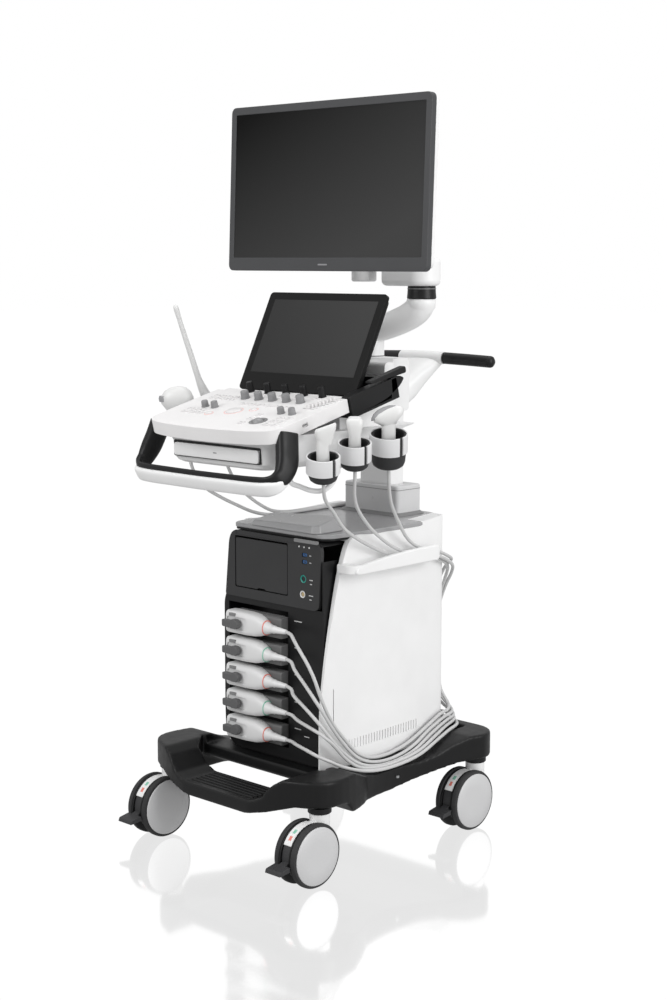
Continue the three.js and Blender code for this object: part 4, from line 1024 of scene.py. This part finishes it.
def connectors():
    """Five plugs in the bay, each with its lock lever."""
    rings = []
    profile = ((-97.5, -133, 14, 20, 5), (-95.5, -133, 17.5, 22.8, 5), (-89, -133.5, 18.6, 23.4, 4.5),
               (-40, -133.5, 18.8, 23.4, 4), (-16, -134, 18.2, 22, 3.4), (-2, -136, 16, 19, 2.8),
               (9, -138.5, 13.5, 15.5, 2.3), (16, -140.5, 11.2, 12.2, 2), (26, -141, 9, 9.4, 2),
               (33, -141, 7.8, 7.8, 2), (36, -141, 8.4, 8.4, 2), (38, -141, 7.2, 7.2, 2),
               (67, -141, 4.8, 4.8, 2), (68.5, -141, 4, 4, 2))
    for x, yc, deep, tall, power in profile:
        rings.append([(x, yc + u * deep, v * tall) for u, v in superellipse(power, 40)])
    pocket = prism("y", round_rect(-91, -33, -12.5, 12.5, 6), -156, -149.6)
    shell = carved(loft(rings), pocket)
    blade = rounded([(-94, -8, 4), (-55, -9, 4), (-55, 6, 2), (-94, 6.5, 3)])
    lobe = rounded([(-69, -9.5, 3), (-51, -9.5, 5), (-46, 0, 6), (-51, 10, 6), (-67, 10, 5)])
    wing = join(prism("y", blade, -164, -153.6), prism("y", lobe, -165, -153.4),
                prism("y", circle(-71, 0, 5.5), -154, -149.9))
    ring = []
    for edge in (-0.8, 0.8):
        deep, tall = 13.1 - 0.2 * edge, 14.8 - 0.3 * edge
        ring.append([(13 + edge, -139.7 + u * deep, v * tall) for u, v in superellipse(2.2, 40)])
    for i, finish in enumerate((RED, GREEN, RED, GREEN, RED)):
        here = at(0, 0, TOP_PLUG - PLUG_PITCH * i)
        piece(f"connector_shell_{i + 1}", shell, SHELL_GREY, [f"transducer_connector_{i + 1}"],
              matrix=here, sharp=50)
        plug = prism("x", round_rect(-130, -104, -21, 21, 5), -93, 42)
        piece(f"connector_back_{i + 1}", plug, BACK_GREY, matrix=here, bevel=2)
        piece(f"connector_ring_{i + 1}", loft(ring), finish, matrix=here)
        tag = prism("y", round_rect(-84, -66, 13.5, 19.5, 1), -152.8, -150)
        piece(f"connector_tag_{i + 1}", tag, MID_GREY, matrix=here)
        piece(f"lever_wing_{i + 1}", wing, LEVER_GREY, [f"lock_lever_{i + 1}"],
              body=f"lock_lever_{i + 1}", matrix=here, bevel=1.8)
    ribs = [box(x, x + 2.4, -126, -108, 473.5, 476) for x in range(-90, 36, 6)]
    piece("connector_grille", join(*ribs), MID_GREY, slot="pale_grey")


def side_skin():
    """Bowed white skins, with a lead arm on the right one."""
    edge = rounded([(-129, 184, 5), (-128, 330, 200), (-92, 523, 300), (-62, 628, 50), (-38, 646, 16),
                    (20, 640, 30), (246, 656, 10), (246, 184, 5)], 12)
    blank = prism("x", edge, 118, 170)
    bow = [(230, -150), (146, -140), (153, -100), (157.5, -50), (159, 0), (160, 60), (159.6, 110),
           (158.5, 160), (156, 200), (152.5, 222), (147, 238), (139, 246), (126, 252), (230, 270)]
    skin = carved(blank, prism("z", bow, 150, 700), box(100, 144.5, -160, 241, 150, 633))
    vents = [box(156, 175, y, y + 2.4, 216 + 0.02 * (y + 64), 236 + 0.02 * (y + 64))
             for y in range(-64, 152, 8)]
    slot = box(140, 175, -96.5, -94.5, 280, 345)
    shape = carved(skin, *vents, slot)
    piece("side_skin_right", shape, SIDE_WHITE, ["side_panel_right"], bevel=3, rings=4)
    short = mirrored(carved(shape, box(90, 200, -160, -88, 150, 700)))
    piece("side_skin_left", short, SIDE_WHITE, ["side_panel_left"], bevel=3, rings=4)
    outline = rounded([(-78, 578, 5), (-70, 573, 8), (172, 574, 10), (172, 606, 10), (96, 606, 40),
                       (0, 600, 60), (-72, 590, 5)])
    piece("lead_gather_arm", prism("x", outline, 187, 198), WHITE, bevel=3.5)
    stub = prism("z", rounded([(150, -84, 4), (182, -84, 8), (196, -74, 8), (196, -58, 3),
                               (150, -66, 3)]), 575, 592)
    piece("lead_gather_stub", stub, WHITE, bevel=3)


# ---------------------------------------------------------------- casters
TRAIL = 34
AXLE_HEIGHT = 62.5


def on_rim(r, degrees):
    """A point at radius r about the axle, seen from the side."""
    return -TRAIL + r * math.cos(math.radians(degrees)), AXLE_HEIGHT + r * math.sin(math.radians(degrees))


def sector(r, start, stop):
    return [on_rim(r, start + (stop - start) * i / 24) for i in range(25)]


def caster(corner, x, y):
    """Fork, twin wheels and pedal of one corner."""
    place_here = at(x, y, 0)
    on_fork = fitted(f"caster_{corner}", place_here)
    on_wheels = fitted(f"wheels_{corner}")
    on_pedal = fitted(f"pedal_{corner}", place_here)
    band_shape = prism("x", sector(60, 22, 152) + sector(49, 152, 22), -10.6, 10.6)
    on_fork(f"caster_band_{corner}", band_shape, WHITE, [f"caster_fork_{corner}"], bevel=1.2)
    low = prism("x", sector(57.5, 150, 205) + sector(46, 205, 150), -10.6, 10.6)
    on_fork(f"caster_low_{corner}", low, PEDAL, bevel=1)
    lip = sector(61.2, 14, 206) + sector(50, 206, 14)
    rims = [prism("x", lip, -14.4, -10.6), prism("x", lip, 10.6, 14.4)]
    on_fork(f"caster_rims_{corner}", join(*rims), BLACK, bevel=0.8)
    web = prism("x", sector(52, 0, 180) + [(-70, 62), (-46, 50), (-22, 50)], -10, 10)
    on_fork(f"caster_web_{corner}", web, PEDAL)
    stem = lathe([(0, 100), (19.5, 100), (20, 136), (0, 136)], 40)
    on_fork(f"caster_stem_{corner}", stem, WHITE)
    cap = lathe([(0, 135.5), (21.5, 135.5), (23, 137), (23, 147), (0, 147)], 40)
    on_fork(f"caster_cap_{corner}", cap, BLACK)
    for name, finish, start in (("go", GREEN, 118), ("stop", RED, 133)):
        tab = [on_rim(r, start + turn) for r, turn in ((60.2, 0), (60.2, 9), (58, 9), (58, 0))]
        on_fork(f"caster_mark_{name}_{corner}", prism("x", tab, -3.4, 3.4), finish)
    profile = [(0, 17), (46, 17), (54, 15), (61, 15.4), (62.5, 17), (62.5, 23.5), (61, 26.5),
               (57.5, 27.6), (56, 27.6), (54, 26), (0, 26)]
    tyre = lathe(profile, 64)
    disc = lathe([(0, 27), (56.4, 27), (56.4, 28.2), (55, 29.4), (30, 30), (0, 30.2)], 64)
    hub = at(x, y - TRAIL, AXLE_HEIGHT)
    for side, sign in (("outer", 1), ("inner", -1)):
        to_axle = hub @ turned(90 * sign, "Y")
        stands_for = [f"caster_wheels_{corner}"] if side == "outer" else ()
        on_wheels(f"wheel_tyre_{side}_{corner}", tyre, RUBBER, stands_for, matrix=to_axle, sharp=30)
        on_wheels(f"wheel_disc_{side}_{corner}", disc, DISC, matrix=to_axle, sharp=50)
    axle = lathe([(0, -20), (7.6, -20), (7.6, 20), (0, 20)], 24)
    on_wheels(f"wheel_axle_{corner}", axle, STEEL, matrix=hub @ turned(90, "Y"))
    arm = rounded([(-72, 64, 1), (-84, 64, 4), (-101, 55.5, 8), (-124, 51, 1), (-126, 44, 2),
                   (-101, 46, 8), (-84, 52, 4), (-72, 52, 1)])
    toe = rounded([(-99, 56, 2), (-124, 51.5, 2), (-127, 43.5, 2), (-101, 46, 2)])
    on_pedal(f"pedal_arm_{corner}", prism("x", arm, -8.5, 8.5), PEDAL, [f"brake_pedal_{corner}"],
             bevel=0.8)
    on_pedal(f"pedal_toe_{corner}", prism("x", toe, -20, 20), PEDAL, bevel=1.6)


# ---------------------------------------------------------------- base
def base_details():
    """Ribs on the footrest's tread and screws under the frame."""
    ribs = [swept(smooth_path([(-88, y, 147), (-40, y, 147.2), (40, y, 147.2), (88, y, 147)], 12),
                  lambda s: (2.2, 2.2, 2), 10) for y in range(-252, -190, 12)]
    piece("tread_ribs", join(*ribs), BLACK, sharp=60)
    screw = lathe([(0, 121), (4, 121), (4.5, 123), (4.5, 126), (0, 126)], 20)
    heads = [moved(screw, at(201, y, 26)) for y in (-30, 40, 110)]
    piece("base_screws", join(*heads), STEEL)


# ---------------------------------------------------------------- the frame's own pieces
def coated(name, finish):
    """A node of the frame that is shown as it is, in the finish."""
    node = nodes[name]
    node.data.materials.clear()
    node.data.materials.append(finish)
    return node


def dress(name, finish, soft_edge):
    """Flat faces made whole and the edges between them softened."""
    node = coated(name, finish)
    weld = node.modifiers.new("Weld", "WELD")
    weld.merge_threshold = 0.01 * MM
    flat = node.modifiers.new("Flat", "DECIMATE")
    flat.decimate_type = "DISSOLVE"
    flat.angle_limit = math.radians(1)
    soften(node, soft_edge, 2, 30)


def base():
    """The casting, with its facets blended into one moulded skin."""
    node = coated("base_frame", BASE_BLACK)
    cells = node.modifiers.new("Skin", "REMESH")
    cells.mode = "VOXEL"
    cells.voxel_size = 3 * MM
    cells.use_smooth_shade = True
    relax = node.modifiers.new("Relax", "SMOOTH")
    relax.factor = 0.5
    relax.iterations = 8


monitor()
monitor_mount()
arm()
touch_screen()
touch_base()
console_shell()
controls()
keys()
casing()
drawer()
front_handle()
rear_handle()
cable_hook()
holders()
probes()
column()
deck()
body_front()
door()
connectors()
side_skin()
for corner, (x, y) in CORNERS.items():
    caster(corner, x, y)
base_details()
base()
dress("rear_cover", WHITE, 1.5)
dress("thermal_printer", MID_GREY, 0.8)
dress("card_cage", STEEL, 0.6)
dress("power_supply", STEEL, 0.6)


# ---------------------------------------------------------------- studio
AMBIENT = 0.62
FLOOR_GLOSS = 0.5
FLOOR_BOUNCE = 0.55


def by_ray(tree, for_camera, for_others):
    """One shader for what the camera sees directly, another for all other rays."""
    ray = tree.nodes.new("ShaderNodeLightPath")
    mix = tree.nodes.new("ShaderNodeMixShader")
    tree.links.new(ray.outputs["Is Camera Ray"], mix.inputs[0])
    tree.links.new(for_others.outputs[0], mix.inputs[1])
    tree.links.new(for_camera.outputs[0], mix.inputs[2])
    return mix.outputs[0]


def studio():
    """White for the camera, and a softer even light on the pieces."""
    scene = bpy.context.scene
    scene.view_settings.view_transform = "Standard"
    world = bpy.data.worlds.new("studio")
    scene.world = world
    world.use_nodes = True
    tree = world.node_tree
    background = tree.nodes["Background"]
    seen = tree.nodes.new("ShaderNodeBackground")
    seen.inputs["Color"].default_value = (1, 1, 1, 1)
    seen.inputs["Strength"].default_value = 1.0
    background.inputs["Color"].default_value = (1, 1, 1, 1)
    background.inputs["Strength"].default_value = AMBIENT
    tree.links.new(by_ray(tree, seen, background), tree.nodes["World Output"].inputs["Surface"])


def floor():
    """A pale glossy floor that is as white as the backdrop and gives back a weak light."""
    mesh = bpy.data.meshes.new("floor")
    reach = 30.0
    corners = [(-reach, -reach, 0), (reach, -reach, 0), (reach, reach, 0), (-reach, reach, 0)]
    mesh.from_pydata(corners, [], [(0, 1, 2, 3)])
    ground = shown("floor", mesh)
    material, tree, shader = new_material("floor_white")
    glow = tree.nodes.new("ShaderNodeEmission")
    glow.inputs["Strength"].default_value = (1.08 - FLOOR_GLOSS * AMBIENT) / (1 - FLOOR_GLOSS)
    bounce = tree.nodes.new("ShaderNodeEmission")
    bounce.inputs["Strength"].default_value = FLOOR_BOUNCE
    gloss = tree.nodes.new("ShaderNodeBsdfGlossy")
    gloss.inputs["Roughness"].default_value = 0.08
    mix = tree.nodes.new("ShaderNodeMixShader")
    mix.inputs[0].default_value = FLOOR_GLOSS
    tree.links.new(glow.outputs[0], mix.inputs[1])
    tree.links.new(gloss.outputs[0], mix.inputs[2])
    tree.links.new(by_ray(tree, mix, bounce), tree.nodes["Material Output"].inputs["Surface"])
    tree.nodes.remove(shader)
    mesh.materials.append(material)


def softbox(name, place, aim, wide, high, power):
    light = bpy.data.lights.new(name, "AREA")
    light.shape = "RECTANGLE"
    light.size = wide
    light.size_y = high
    light.energy = power
    made = shown(name, light)
    made.location = place
    made.rotation_euler = (Vector(aim) - Vector(place)).to_track_quat("-Z", "Y").to_euler()


studio()
floor()
softbox("key", (-0.6, -3.6, 3.0), (0, 0, 0.9), 2.4, 2.4, 75)
softbox("side", (3.6, 0.2, 1.8), (0, 0, 0.8), 2.0, 2.6, 75)
softbox("top", (0.0, 0.4, 3.8), (0, 0, 0.8), 2.5, 2.5, 35)
